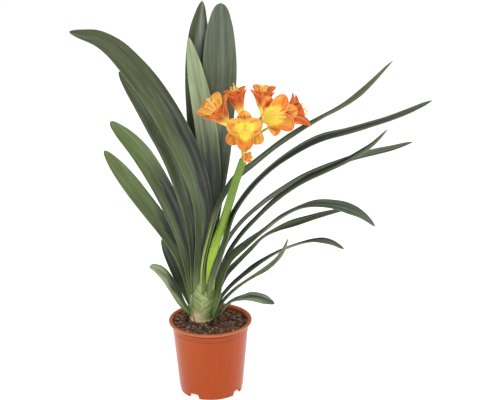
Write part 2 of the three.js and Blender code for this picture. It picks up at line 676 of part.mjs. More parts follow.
// The stamens and the style stand on a hub in the flower's tube.
function stamensSolid(flower) {
  const { count, hubRadius, hubFoot, hubTop, antherHalfWidth, stigma } = STAMEN;
  const hub = new THREE.CylinderGeometry(hubRadius, hubRadius, hubTop - hubFoot, 6).rotateX(Math.PI / 2);
  const antherSize = [antherHalfWidth, antherHalfWidth, STAMEN.antherHalfLength];
  const style = stamenSolid(0, STAMEN.styleLean, STAMEN.styleReach, [stigma, stigma, stigma]);
  let bunch = toSolid(hub.translate(0, 0, (hubFoot + hubTop) / 2));
  const pieces = [style.rotate([0, 0, THREE.MathUtils.radToDeg(STAMEN.firstBearing)])];
  for (let i = 0; i < count; i += 1) {
    const top = STAMEN.reach - STAMEN.shorter * (i % 2);
    const stamen = stamenSolid(STAMEN.rootRadius, STAMEN.spread * flower.opening, top, antherSize);
    pieces.push(stamen.rotate([0, 0, THREE.MathUtils.radToDeg(STAMEN.firstBearing) + (i / count) * 360]));
  }
  for (const piece of pieces) bunch = bunch.add(piece);
  return largestBody(bunch).transform(flowerPlace(flower).elements);
}

// ---------------------------------------------------------------- the object

const group = new THREE.Group();

function add(name, geometry, finish) {
  geometry.computeVertexNormals();
  const mesh = new THREE.Mesh(geometry, finish);
  mesh.name = name;
  group.add(mesh);
}

const youngLeaves = ['leaf_centre_3', 'leaf_left_6', 'leaf_right_8'];
const darkLeaves = ['leaf_left_2', 'leaf_left_5', 'leaf_centre_1', 'leaf_right_2', 'leaf_right_3',
  'leaf_right_6'];
const leafFinish = (name) => {
  if (youngLeaves.includes(name)) return LEAF_YOUNG;
  return darkLeaves.includes(name) ? LEAF_DARK : LEAF_GREEN;
};

const shaft = LEAVES.reduce((solid, leaf) => solid.subtract(leafSocket(leaf)), shaftSolid());

add('pot', toGeometry(potSolid()), TERRACOTTA);
add('potting_soil', toGeometry(soilSolid(shaftSolid(GAP))), EARTH);
add('leaf_base_shaft', toGeometry(largestBody(shaft.subtract(stalkStem(GAP)))), SHEATH);
for (const leaf of LEAVES) add(leaf.name, leafGeometry(leaf), leafFinish(leaf.name));
const stalk = FLOWERS.reduce((solid, flower) => solid.add(pedicelSolid(flower)), stalkStem());
add('flower_stalk', toGeometry(stalk), STALK_GREEN);
FLOWERS.forEach((flower, i) => {
  add(`flower_${i + 1}`, toGeometry(flowerSolid(flower)), ORANGE);
  if (!flower.withered) add(`stamens_${i + 1}`, toGeometry(stamensSolid(flower)), YELLOW);
});

export default group;
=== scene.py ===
import math
from collections import namedtuple
from itertools import count
from random import Random
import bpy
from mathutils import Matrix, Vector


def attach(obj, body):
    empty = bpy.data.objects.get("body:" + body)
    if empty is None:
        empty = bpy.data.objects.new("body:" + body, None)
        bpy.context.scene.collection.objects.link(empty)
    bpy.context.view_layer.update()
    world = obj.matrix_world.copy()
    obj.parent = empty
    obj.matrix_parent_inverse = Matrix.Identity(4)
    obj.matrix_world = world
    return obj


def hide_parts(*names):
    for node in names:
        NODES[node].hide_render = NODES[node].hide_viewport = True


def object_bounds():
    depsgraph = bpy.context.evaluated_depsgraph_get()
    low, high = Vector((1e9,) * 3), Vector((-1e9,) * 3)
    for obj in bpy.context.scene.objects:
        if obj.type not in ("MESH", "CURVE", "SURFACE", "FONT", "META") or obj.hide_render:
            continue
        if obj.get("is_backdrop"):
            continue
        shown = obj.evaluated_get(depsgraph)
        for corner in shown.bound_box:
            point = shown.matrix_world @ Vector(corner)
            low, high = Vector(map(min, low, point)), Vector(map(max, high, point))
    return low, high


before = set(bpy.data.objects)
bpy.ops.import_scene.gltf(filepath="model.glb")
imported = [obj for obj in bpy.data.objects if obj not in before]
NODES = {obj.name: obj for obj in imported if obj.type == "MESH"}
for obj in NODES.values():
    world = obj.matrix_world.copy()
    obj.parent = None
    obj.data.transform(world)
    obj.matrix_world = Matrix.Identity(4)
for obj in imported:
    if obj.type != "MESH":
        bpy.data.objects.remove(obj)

from types import SimpleNamespace

import bmesh
import bpy
import numpy as np
from bpy.props import FloatProperty, FloatVectorProperty, IntProperty, PointerProperty
from bpy.types import Operator, Panel, PropertyGroup
from mathutils import Matrix, Vector
from mathutils.noise import fractal, noise

bl_info = {
    "name": "Potted clivia",
    "version": (1, 0, 0),
    "blender": (4, 5, 0),
    "location": "View3D > Sidebar > Clivia",
    "description": "Makes a flowering clivia in its pot round its solid model",
    "category": "Object",
}

MM = 0.001
CAD_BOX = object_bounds()


def srgb(*display):
    """A linear colour from display values of 0 to 255."""
    shares = [value / 255 for value in display]
    return tuple(v / 12.92 if v < 0.04045 else ((v + 0.055) / 1.055) ** 2.4 for v in shares)


def tint(name, description, *display):
    """A colour property."""
    return FloatVectorProperty(name=name, description=description, subtype="COLOR", size=3,
                               min=0, max=1, default=srgb(*display))


def length(name, description, millimetres):
    """A length property, in metres as Blender keeps it."""
    return FloatProperty(name=name, description=description, unit="LENGTH",
                         default=millimetres * MM, min=0)


# ---------------------------------------------------------------- sizes and colours


class PotSettings(PropertyGroup):
    colour: tint("Plastic", "Colour of the pot", 170, 68, 2)
    scuff: tint("Scuffs", "Fine paler lines near the rim", 226, 150, 116)
    # The paler top of the lip is a painted highlight where it faces the light.
    painted_lip_light: tint("Lip highlight", "Paler top of the lip", 222, 142, 104)
    shade: tint("Shade", "Dark lines on and under the lip", 96, 34, 12)
    lip_round: length("Lip rounding", "Radius of the lip's rounded edges", 1.6)
    bead: length("Ring height", "How far the fine ring under the lip stands out", 0.4)
    roughness: FloatProperty(name="Roughness", description="Roughness of the plastic", default=0.24,
                             min=0, max=1)


class SoilSettings(PropertyGroup):
    earth: tint("Earth", "Colour of the damp soil", 120, 92, 75)
    bark: tint("Bark", "Colour of the lighter chips of bark", 176, 132, 94)
    crumbs: IntProperty(name="Crumbs", description="How many loose crumbs lie on the soil",
                        default=2000, min=0)
    crumb_size: length("Crumb size", "Greatest radius of a crumb", 2.7)


class LeafSettings(PropertyGroup):
    black: tint("Black green", "Deepest shaded half of a leaf", 38, 41, 34)
    dark: tint("Dark green", "Shaded half of a dark leaf", 54, 60, 43)
    slate: tint("Slate", "Bluish bloom on a shaded leaf", 64, 70, 67)
    olive: tint("Olive", "Body of an old leaf", 72, 80, 50)
    mid: tint("Mid green", "Body of a full-grown leaf", 88, 102, 66)
    fresh: tint("Fresh green", "Body of a younger leaf", 100, 118, 68)
    grey: tint("Grey green", "Waxy bloom on a leaf", 93, 104, 84)
    # Silver is a painted sheen: the brightest streaks of reflected light on a leaf.
    silver: tint("Silver", "Brightest streaks of bloom", 138, 147, 132)
    light: tint("Light green", "Body of a pale leaf", 158, 174, 134)
    lime: tint("Lime green", "Base of an inner leaf", 166, 190, 72)
    margin: tint("Margin", "The thin translucent rim of a leaf", 140, 150, 108)
    sheath: tint("Sheath", "Wrapped base of a leaf", 150, 174, 104)
    pale: tint("Pale sheath", "Middle of the shaft and the sheaths' edges", 192, 210, 138)
    cream: tint("Cream", "Bare tissue at the foot of the shaft", 255, 242, 204)
    tan: tint("Tan", "Dry blotches on the bare tissue", 244, 206, 152)
    bruise: tint("Bruise", "Brown line on the shaft's scar", 140, 84, 48)
    wave: length("Edge wave", "How far a leaf's edges wave up and down", 0.5)


class FlowerSettings(PropertyGroup):
    orange: tint("Orange", "Petals near their tips", 226, 122, 46)
    glow: tint("Light orange", "Middle of a petal", 240, 176, 84)
    throat: tint("Throat", "Yellow throat of the flower", 238, 240, 116)
    outside: tint("Outside", "Outer face of a petal", 206, 88, 38)
    # The petal rim is a painted highlight along the edge that catches the light.
    rim: tint("Petal rim", "The thin bright edge of a petal", 250, 204, 128)
    old: tint("Withering", "Lobes of the withering flower", 246, 196, 124)
    speck: tint("Specks", "Brown specks on the withering flower", 146, 84, 44)
    filament: tint("Filament", "Stalk of a stamen", 255, 222, 140)
    anther: tint("Anther", "Pollen head of a stamen", 238, 214, 84)
    stalk_foot: tint("Stalk foot", "Lower end of the flower stalk", 212, 255, 86)
    stalk_top: tint("Stalk top", "Upper end of the flower stalk", 104, 134, 44)


class StageSettings(PropertyGroup):
    floor: tint("Floor", "Colour of the floor", 244, 244, 244)
    focal: FloatProperty(name="Focal length", description="Focal length in millimetres",
                         default=137.6, min=1)
    pitch: FloatProperty(name="Pitch", description="How far the camera looks down",
                         subtype="ANGLE", default=math.radians(20.265))
    roll: FloatProperty(name="Roll", description="Turn of the camera about its view",
                        subtype="ANGLE", default=math.radians(0.65))


# ---------------------------------------------------------------- materials


def add_node(tree, kind, inputs=(), **settings):
    """Adds a node with its settings, and sets or links its inputs, given by name or number."""
    node = tree.nodes.new(kind)
    for name, value in settings.items():
        setattr(node, name, value)
    for key, value in dict(inputs).items():
        socket = node.inputs[key]
        if isinstance(value, bpy.types.NodeSocket):
            tree.links.new(value, socket)
        else:
            socket.default_value = value
    return node


def maths(tree, operation, first, second=0.0):
    """The result of a sum on one or two numbers or sockets."""
    return add_node(tree, "ShaderNodeMath", {0: first, 1: second}, operation=operation).outputs[0]


def mapped(tree, value, low, high, to_low, to_high):
    """value taken smoothly from one range to another and held at its ends."""
    return add_node(tree, "ShaderNodeMapRange", {
        "Value": value, "From Min": low, "From Max": high, "To Min": to_low, "To Max": to_high,
    }, interpolation_type="SMOOTHSTEP").outputs["Result"]


def spread(tree, grain, low, high):
    """Noise taken from the range where most of it lies to one from low to high."""
    return mapped(tree, grain, 0.3, 0.7, low, high)


def mixed(tree, factor, first, second, blend="MIX"):
    """Two colours mixed by factor."""
    first, second = (colour if isinstance(colour, bpy.types.NodeSocket) else (*colour[:3], 1)
                     for colour in (first, second))
    return add_node(tree, "ShaderNodeMix", {0: factor, 6: first, 7: second},
                    data_type="RGBA", blend_type=blend).outputs[2]


def shaded(tree, paint, shade, red=None):
    """The paint multiplied by shade. Its red can have a factor of its own."""
    factors = {0: shade if red is None else red, 1: shade, 2: shade}
    grey = add_node(tree, "ShaderNodeCombineColor", factors).outputs[0]
    return mixed(tree, 1.0, paint, grey, "MULTIPLY")


def noise_at(tree, vector, scale, detail=2.0, roughness=0.5):
    """Noise from 0 to 1 at a vector."""
    return add_node(tree, "ShaderNodeTexNoise", {
        "Vector": vector, "Scale": scale, "Detail": detail, "Roughness": roughness,
    }).outputs["Fac"]


def drawn_out(tree, place, scales, detail, roughness=0.5):
    """Noise with a scale of its own along each axis."""
    spot = add_node(tree, "ShaderNodeMapping", {"Vector": place, "Scale": scales}).outputs[0]
    return noise_at(tree, spot, 1.0, detail, roughness)


def new_material(name, **sockets):
    """A material with its shader's own sockets set, and its node tree and shader."""
    material = bpy.data.materials.new(name)
    material.use_nodes = True
    shader = material.node_tree.nodes["Principled BSDF"]
    for key, value in sockets.items():
        shader.inputs[key.replace("_", " ")].default_value = value
    return material, material.node_tree, shader


def finish_with(tree, shader, colour, roughness, height, distance):
    """Joins colour, roughness and a bump of the given height to the shader."""
    bump = add_node(tree, "ShaderNodeBump",
                    {"Height": height, "Strength": 1.0, "Distance": distance})
    tree.links.new(colour, shader.inputs["Base Color"])
    tree.links.new(roughness, shader.inputs["Roughness"])
    tree.links.new(bump.outputs["Normal"], shader.inputs["Normal"])


def object_place(tree):
    return add_node(tree, "ShaderNodeTexCoord").outputs["Object"]


def skin_paint(tree):
    """The colour painted on a skin, and its place there: across, along and in from the margin."""
    paint = add_node(tree, "ShaderNodeAttribute", attribute_name="paint").outputs["Color"]
    spot = add_node(tree, "ShaderNodeAttribute", attribute_name="spot").outputs["Vector"]
    return paint, *add_node(tree, "ShaderNodeSeparateXYZ", {0: spot}).outputs


def lengthwise(tree, across, along, fineness, stretch):
    """Noise drawn out along a blade into streaks."""
    spot = add_node(tree, "ShaderNodeCombineXYZ", {
        0: maths(tree, "MULTIPLY", across, fineness),
        1: maths(tree, "MULTIPLY", along, fineness / stretch),
    }).outputs[0]
    return noise_at(tree, spot, 1.0, 3.0, 0.6)


def leaf_material(settings):
    """Waxy strap leaf: veins, broader streaks, silvery lines of painted sheen and a pale margin."""
    material, tree, shader = new_material("clivia_leaf", Specular_IOR_Level=0.3)
    paint, across, along, inwards = skin_paint(tree)
    streak = lengthwise(tree, across, along, 270.0, 16.0)
    vein = lengthwise(tree, across, along, 1500.0, 60.0)
    # The silvery streaks are a painted sheen: light reflected from the wax, painted into the
    # colour.
    bloom = lengthwise(tree, maths(tree, "ADD", across, 7.0), along, 340.0, 14.0)
    veins = mapped(tree, vein, 0.35, 0.65, -0.08, 0.08)
    body = shaded(tree, paint, maths(tree, "ADD", spread(tree, streak, 0.8, 1.16), veins))
    sheened = mixed(tree, mapped(tree, bloom, 0.58, 0.72, 0.0, 0.3), body, settings.silver)
    rim = mapped(tree, inwards, 0.25 * MM, 0.8 * MM, 0.6, 0.0)
    colour = mixed(tree, rim, sheened, settings.margin)
    finish_with(tree, shader, colour, spread(tree, streak, 0.56, 0.44), vein, 0.12 * MM)
    return material


def stem_material(name, roughness):
    """Green stem tissue with fine lengthwise lines."""
    material, tree, shader = new_material(name, Specular_IOR_Level=0.4)
    paint, across, along, _ = skin_paint(tree)
    line = lengthwise(tree, across, along, 1400.0, 40.0)
    blotch = noise_at(tree, object_place(tree), 90.0)
    shade = maths(tree, "ADD", spread(tree, line, 0.9, 1.1), spread(tree, blotch, -0.05, 0.05))
    rough = spread(tree, line, roughness, roughness - 0.08)
    finish_with(tree, shader, shaded(tree, paint, shade), rough, line, 0.1 * MM)
    return material


def petal_material():
    """Thin petal: painted from throat to tip, with fine veins, some light that shines through it,
    and a painted glow in its yellower parts.
    """
    material, tree, shader = new_material(
        "clivia_petal", Specular_IOR_Level=0.25, Subsurface_Weight=0.3, Subsurface_Scale=3 * MM,
        Subsurface_Radius=(1.0, 0.7, 0.4), Emission_Strength=0.2)
    paint, across, along, _ = skin_paint(tree)
    vein = lengthwise(tree, across, along, 1700.0, 14.0)
    colour = shaded(tree, paint, spread(tree, vein, 0.84, 1.08), red=1.0)
    # A painted glow: the yellower parts give off light of their own, standing in for light shining
    # through.
    yellow = add_node(tree, "ShaderNodeSeparateColor", {0: colour}).outputs[1]
    lit = mixed(tree, mapped(tree, yellow, 0.3, 0.8, 0.72, 0.0), colour, (0.0, 0.0, 0.0))
    tree.links.new(lit, shader.inputs["Emission Color"])
    finish_with(tree, shader, colour, spread(tree, vein, 0.58, 0.46), vein, 0.15 * MM)
    return material


def stamen_material(settings):
    """Filaments and pollen heads: a fine grain and a faint painted glow."""
    # The glow is painted light that lifts the stamens out of the shade of the flower.
    material, tree, shader = new_material("stamen", Specular_IOR_Level=0.35, Emission_Strength=0.15,
                                          Emission_Color=(*settings.filament, 1.0))
    grain = noise_at(tree, object_place(tree), 2200.0, 3.0)
    colour = shaded(tree, skin_paint(tree)[0], spread(tree, grain, 0.88, 1.1))
    finish_with(tree, shader, colour, spread(tree, grain, 0.6, 0.5), grain, 0.05 * MM)
    return material


def pot_material(settings):
    """Glossy terracotta plastic: upright flow marks, fine lines near the rim, a paler lip top that
    is a painted highlight, and lines of painted shade under the lip and at the ring.
    """
    material, tree, shader = new_material("terracotta_plastic", Specular_IOR_Level=0.28)
    place = object_place(tree)
    flow = drawn_out(tree, place, (46.0, 46.0, 3.0), 3.0)
    scuff = drawn_out(tree, place, (24.0, 24.0, 520.0), 4.0, 0.65)
    grain = noise_at(tree, place, 1400.0)
    height = add_node(tree, "ShaderNodeSeparateXYZ", {0: place}).outputs[2]
    darker = [c * k for c, k in zip(settings.colour, (0.84, 0.74, 0.7))]
    base = mixed(tree, mapped(tree, flow, 0.35, 0.65, 0.0, 0.45), settings.colour, darker)
    near_rim = mapped(tree, height, 92 * MM, 108 * MM, 0.0, 0.22)
    lines = maths(tree, "MULTIPLY", mapped(tree, scuff, 0.5, 0.75, 0.0, 1.0), near_rim)
    scuffed = mixed(tree, lines, base, settings.scuff)
    # Painted highlight: the top of the lip is paler where it faces the light.
    lip = mapped(tree, height, 113 * MM, 116 * MM, 0.0, 0.4)
    colour = mixed(tree, lip, scuffed, settings.painted_lip_light)
    # Painted shade under the lip and along the ring.
    for z, half, strength in POT_SHADES:
        off = maths(tree, "ABSOLUTE", maths(tree, "SUBTRACT", height, z * MM))
        near = mapped(tree, off, 0.0, half * MM, strength, 0.0)
        colour = mixed(tree, near, colour, settings.shade)
    roughness = mapped(tree, flow, 0.35, 0.65, settings.roughness, settings.roughness + 0.06)
    finish_with(tree, shader, colour, roughness, grain, 0.01 * MM)
    return material


def soil_material():
    """Damp peat: dark grains with the paint of each crumb over them."""
    material, tree, shader = new_material("potting_soil", Specular_IOR_Level=0.25)
    place = object_place(tree)
    coarse, fine = noise_at(tree, place, 420.0, 4.0, 0.7), noise_at(tree, place, 1900.0, 3.0, 0.6)
    shade = maths(tree, "MULTIPLY", spread(tree, coarse, 0.55, 1.35), spread(tree, fine, 0.7, 1.3))
    colour = shaded(tree, skin_paint(tree)[0], shade)
    finish_with(tree, shader, colour, spread(tree, fine, 0.95, 0.75), coarse, 0.8 * MM)
    return material


# ---------------------------------------------------------------- skins


def colours_of(settings, *names):
    """The named colours of the settings as arrays."""
    return [np.array(getattr(settings, name)) for name in names]


def new_skin():
    """An empty bmesh that can hold painted skins."""
    bm = bmesh.new()
    bm.verts.layers.float_color.new("paint")
    bm.verts.layers.float_vector.new("spot")
    return bm


def add_skin(bm, points, paint, spots=None):
    """Bends a grid into a closed skin through rows of points round it, and closes its ends."""
    rows, around = len(points) - 1, len(points[0])
    made = bmesh.ops.create_grid(bm, x_segments=around, y_segments=rows, size=1.0)["verts"]
    colour, spot = bm.verts.layers.float_color["paint"], bm.verts.layers.float_vector["spot"]
    for vert in made:
        j = round((vert.co.y + 1) / 2 * rows)
        i = round((vert.co.x + 1) / 2 * around) % around
        vert.co = points[j][i]
        vert[colour] = (*paint[j][i], 1.0)
        if spots is not None:
            vert[spot] = spots[j][i]
    bmesh.ops.remove_doubles(bm, verts=made, dist=1e-6)
    made = [vert for vert in made if vert.is_valid]
    edges = list({edge for vert in made for edge in vert.link_edges if edge.is_boundary})
    if edges:
        bmesh.ops.holes_fill(bm, edges=edges, sides=around)
    faces = list({face for vert in made for face in vert.link_faces})
    bmesh.ops.recalc_face_normals(bm, faces=faces)


def add_ball(bm, subdivisions, matrix, tone):
    """A painted ball of radius 1 taken through a matrix. Returns its vertices."""
    made = bmesh.ops.create_icosphere(
        bm, subdivisions=subdivisions, radius=1.0, matrix=matrix)["verts"]
    layer, tone = bm.verts.layers.float_color["paint"], (*np.clip(tone, 0, 1), 1.0)
    for vert in made:
        vert[layer] = tone
    return made


def linked(name, data):
    """A new object in the scene."""
    made = bpy.data.objects.new(name, data)
    bpy.context.scene.collection.objects.link(made)
    return made


def finished(bm, name, material, slot, *nodes):
    """Makes the piece from bm, which stands for the named nodes."""
    mesh = bpy.data.meshes.new(name)
    bm.to_mesh(mesh)
    bm.free()
    mesh.shade_smooth()
    mesh.materials.append(material)
    piece = linked(name, mesh)
    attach(piece, "root")
    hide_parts(*nodes)


def smoothstep(value, low, high):
    """0 up to low, 1 from high on, and a smooth rise between them."""
    t = np.clip((value - low) / (high - low), 0.0, 1.0)
    return t * t * (3 - 2 * t)


def bell(away, width):
    """1 in the middle, and a smooth fall to 0 on either side."""
    return math.exp(-(away / width) ** 2)


def lerp(first, second, share):
    return first + (second - first) * share


def unit(vectors):
    """Vectors brought to length 1."""
    return vectors / np.maximum(np.linalg.norm(vectors, axis=-1, keepdims=True), 1e-9)


def ring_angles(around):
    """Angles spaced evenly round a ring."""
    return np.arange(around) / around * 2 * math.pi


def spots_at(across, along, inwards=1.0):
    """Places on a skin: how far across, along and in from the margin."""
    return np.stack(np.broadcast_arrays(across, along, inwards), axis=-1)


def through(knots, values, places):
    """Values at the places along a smooth line that passes through the values at the knots."""
    values = np.asarray(values, float)
    slopes = np.gradient(values, knots, axis=0)
    i = np.clip(np.searchsorted(knots, places, side="right") - 1, 0, len(knots) - 2)
    span = (knots[i + 1] - knots[i]).reshape(-1, *[1] * (values.ndim - 1))
    t = (places - knots[i]).reshape(span.shape) / span
    return ((2 * t ** 3 - 3 * t ** 2 + 1) * values[i] + (t ** 3 - 2 * t ** 2 + t) * span * slopes[i]
            + (3 * t ** 2 - 2 * t ** 3) * values[i + 1] + (t ** 3 - t ** 2) * span * slopes[i + 1])


def chords(points):
    """How far along the line each of its points lies."""
    steps = np.linalg.norm(np.diff(points, axis=0), axis=1)
    return np.concatenate([[0.0], np.cumsum(steps)])


def add_tube(bm, path, radii, paint, around, rows, squash=1.0):
    """A closed stem along a smooth path, with its radius and colour at each point of the path.
    squash is the share of its radius that it keeps from front to back."""
    knots = chords(path)
    places = np.linspace(0.0, knots[-1], rows)
    line, size = through(knots, path, places), through(knots, radii, places)[:, None]
    colour = np.clip(through(knots, paint, places), 0.0, 1.0)
    tangent = unit(np.gradient(line, places, axis=0))
    back = np.array([0.0, 1.0, 0.0]) - tangent * tangent[:, 1:2]
    if np.linalg.norm(back, axis=1).min() < 0.2:
        back = np.array([1.0, 0.0, 0.0]) - tangent * tangent[:, 0:1]
    back = unit(back)
    across = np.cross(back, tangent)
    angle = ring_angles(around)
    ring = (across[:, None] * np.cos(angle)[:, None]
            + back[:, None] * (np.sin(angle) * squash)[:, None])
    points = line[:, None] + ring * size[..., None]
    spots = spots_at(angle * size, places[:, None])
    add_skin(bm, points, np.repeat(colour[:, None], around, axis=1), spots)


# ---------------------------------------------------------------- leaves

# How many points a section of a leaf node has.
RING_POINTS = 10
# Places across a blade or petal, closer together near its edges. Then the same round it, out over
# the upper face and back over the lower one, and which face each is on.
ACROSS = np.sin(np.linspace(-1, 1, 17) * math.pi / 2)
AROUND = np.concatenate([ACROSS, ACROSS[-2:0:-1]])
FACES = np.where(np.arange(len(AROUND)) < len(ACROSS), 1, -1)
# How long a row of a blade is, and how far round its curve the tip has come where the sections end.
LEAF_ROW = 4.5 * MM
TIP_START = 0.92
# Where a leaf's sheath begins to fade and where it ends, from the root on.
SHEATH_FADE = (8 * MM, 55 * MM)
# How strongly the pleats of each rank of leaves show: their light streaks are painted highlight and
# their dark ones painted shade.
PLEAT_SHADING = {"left": 0.2, "centre": 0.2, "right": 0.6}

# How each leaf is coloured: the tones of its root, its far half, the fold between the halves, its
# near half and its tip, how far up the tip's tone begins, and how blunt the tip is. A root or near
# half in black or dark is painted shade, among the crowded leaf bases and on the half of the fold
# turned from the light, and a fold in grey or silver is a painted sheen along the rib.
LEAF_LOOKS = {
    "leaf_left_1": ("olive", "mid", "grey", "black", "olive", 0.66, 0.6),
    "leaf_left_2": ("dark", "olive", "grey", "black", "olive", 0.9, 0.6),
    "leaf_left_3": ("olive", "mid", "mid", "black", "fresh", 0.7, 0.5),
    "leaf_left_4": ("olive", "mid", "mid", "black", "fresh", 0.6, 0.55),
    "leaf_left_5": ("dark", "dark", "slate", "black", "grey", 0.85, 0.55),
    "leaf_left_6": ("mid", "light", "fresh", "dark", "light", 0.85, 0.5),
    "leaf_centre_1": ("dark", "olive", "silver", "black", "olive", 0.95, 0.65),
    "leaf_centre_2": ("black", "slate", "silver", "dark", "grey", 0.6, 0.45),
    "leaf_centre_3": ("dark", "slate", "black", "dark", "light", 0.62, 0.65),
    "leaf_right_1": ("lime", "mid", "olive", "dark", "fresh", 0.85, 0.75),
    "leaf_right_2": ("mid", "dark", "black", "grey", "olive", 0.9, 0.7),
    "leaf_right_3": ("fresh", "dark", "silver", "dark", "olive", 0.85, 0.7),
    "leaf_right_4": ("mid", "black", "mid", "fresh", "light", 0.85, 0.7),
    "leaf_right_5": ("fresh", "grey", "fresh", "mid", "grey", 0.6, 0.6),
    "leaf_right_6": ("fresh", "fresh", "mid", "dark", "olive", 0.7, 0.8),
    "leaf_right_7": ("dark", "dark", "grey", "mid", "mid", 0.9, 0.6),
    "leaf_right_8": ("mid", "light", "fresh", "light", "light", 0.8, 0.6),
    "leaf_right_9": ("mid", "silver", "grey", "light", "grey", 0.9, 0.5),
}


def ring_in_order(ring):
    """A ring's points in order round it."""
    members, order = set(ring), [ring[0]]
    while len(order) < len(ring):
        near = (edge.other_vert(order[-1]) for edge in order[-1].link_edges)
        order.append(next(vert for vert in near if vert in members and vert not in order))
    return np.array([vert.co[:] for vert in order])


def width_of(rows):
    """From one edge of a section to the other."""
    return rows.mean(0)[-1] - rows.mean(0)[0]


def depth_of(rows):
    """From a section's lower row to its upper one, at the midrib."""
    return rows[0, 2] - rows[1, 2]


def rows_across(ring):
    """A ring's two rows of points across the blade, as an array of 2 rows of 5 points."""
    half = RING_POINTS // 2
    turns = [np.roll(ring, -k, axis=0) for k in range(half)]
    rows = [np.stack([turn[:half], turn[:half - 1:-1]]) for turn in turns]
    return max(rows, key=lambda pair: np.linalg.norm(width_of(pair)))


def blade_sections(name):
    """A leaf node's sections from root to tip, and its tip. The upper row comes first, and each row
    runs the same way."""
    bm = bmesh.new()
    bm.from_mesh(NODES[name].data)
    bmesh.ops.remove_doubles(bm, verts=bm.verts, dist=1e-6)
    poles = (vert for vert in bm.verts if len(vert.link_edges) == RING_POINTS)
    tip = max(poles, key=lambda vert: vert.co.z)
    apex = np.array(tip.co[:])
    seen, level, rings = {tip}, [tip], []
    while level:
        level = list({edge.other_vert(vert) for vert in level for edge in vert.link_edges} - seen)
        seen.update(level)
        if len(level) == RING_POINTS:
            rings.append(rows_across(ring_in_order(level)))
    bm.free()
    rings.reverse()
    if len(rings) < 5:
        raise RuntimeError(f"{name} has too few sections")
    middle = len(rings) // 2
    section = rings[middle].mean(0)
    rise = (section[0] + section[-1]) / 2 - section[2]
    across = np.cross(rise, rings[middle + 1].mean(0)[2] - section[2])
    for order in (range(middle, len(rings)), range(middle - 1, -1, -1)):
        up, right = rise, across
        for k in order:
            if np.dot(width_of(rings[k]), right) < 0:
                rings[k] = rings[k][:, ::-1]
            if np.dot(depth_of(rings[k]), up) < 0:
                rings[k] = rings[k][::-1]
            up, right = depth_of(rings[k]), width_of(rings[k])
    return np.array(rings), apex


def leaf_points(sections, apex, bluntness, wave, seed):
    """Rows of points round a fine blade, how far along in metres each lies, and half its width."""
    ribs = np.vstack([sections.mean(1)[:, 2], apex])
    knots = chords(ribs)
    rows = int(knots[-1] / LEAF_ROW)
    places = knots[-1] * (1 - (1 - np.linspace(0, 1, rows + 1)) ** 1.15)
    line = through(knots, ribs, places)
    offsets = sections - sections.mean(1)[:, None, 2:3]
    last = knots[-2]
    inner = through(knots[:-1], offsets, np.minimum(places, last))
    nearness = np.clip((places - last) / (knots[-1] - last), 0, 1)
    narrow = ((1 - lerp(TIP_START, 1, nearness) ** 2) / (1 - TIP_START ** 2)) ** bluntness
    inner *= np.where(places > last, narrow, 1.0)[:, None, None, None]
    reach, columns = np.abs(ACROSS), np.arange(len(ACROSS))
    weights = np.zeros((len(ACROSS), 5))
    weights[:, 2] = (1 - reach) * (1 - 2 * reach)
    weights[columns, np.where(ACROSS < 0, 1, 3)] = 4 * reach * (1 - reach)
    weights[columns, np.where(ACROSS < 0, 0, 4)] = reach * (2 * reach - 1)
    faces = np.einsum("ck,nrkd->nrcd", weights, inner)
    middle, half = faces.mean(1), (faces[:, 0] - faces[:, 1]) / 2
    half *= np.sqrt(np.clip(1 - (np.clip(reach - 0.93, 0, 1) / 0.07) ** 2, 0, 1))[None, :, None]
    normal = unit(inner[:, 0, 2] - inner[:, 1, 2])
    lift = np.array([[noise((y * 22, seed + math.copysign(3.7, s), 0.5)) * s * s for s in ACROSS]
                     for y in places])
    width = np.linalg.norm(inner[:, 0, -1] - inner[:, 0, 0], axis=1)
    fade = np.clip(width / width.max() * 1.3 - 0.3, 0, 1)
    middle = middle + normal[:, None] * (lift * fade[:, None] * wave * 2)[..., None]
    upper, lower = line[:, None] + middle + half, line[:, None] + middle - half
    return np.concatenate([upper, lower[:, -2:0:-1]], axis=1), places, width / 2


def leaf_paint(settings, look, reach, pleat_shading, places, seed):
    """Colours on a leaf: two halves and a fold that drift into one another between the root and the
    tip. The near half, on most leaves a painted shade, grows narrower towards the tip, and pleats
    of painted highlight and painted shade run lengthwise."""
    root, far, fold, near, tip, silver, black, sheath = colours_of(
        settings, *look, "silver", "black", "sheath")
    share = (places / places[-1])[:, None]

    def patches(fineness, stretch, shift):
        return np.array([[noise((k * fineness, v * stretch, seed + shift)) for k in AROUND]
                         for v in share[:, 0]])

    def covered(body, tone, amount):
        return lerp(body, tone, amount[..., None])

    drift = patches(1.3, 6.0, 0)
    side = AROUND + 0.5 * drift
    along = share + 0.2 * patches(2.6, 3.0, 40)
    body = covered(fold, far, smoothstep(side, 0.1, 0.45))
    body = covered(root, body, smoothstep(along, 0.08, 0.32))
    # Painted shade: the near half's black or dark tone is the half of the fold turned from the
    # light.
    body = covered(body, near, smoothstep(-side - 0.5 * share, -0.25, 0.0))
    body = covered(body, tip, smoothstep(along, reach - 0.15, reach + 0.15))
    pleats = patches(3.4, 1.1, 80)
    pleat_shading = pleat_shading * smoothstep(along, 0.15, 0.4)
    # Light pleats are painted highlight, dark pleats painted shade.
    body = covered(body, silver, pleat_shading * smoothstep(pleats, 0.08, 0.3))
    body = covered(body, black, pleat_shading * smoothstep(-pleats, 0.08, 0.3))
    body = covered(body, sheath, 0.45 * (1 - smoothstep(places, *SHEATH_FADE))[:, None])
    return np.clip(body * (1 + 0.16 * drift[..., None]), 0, 1)


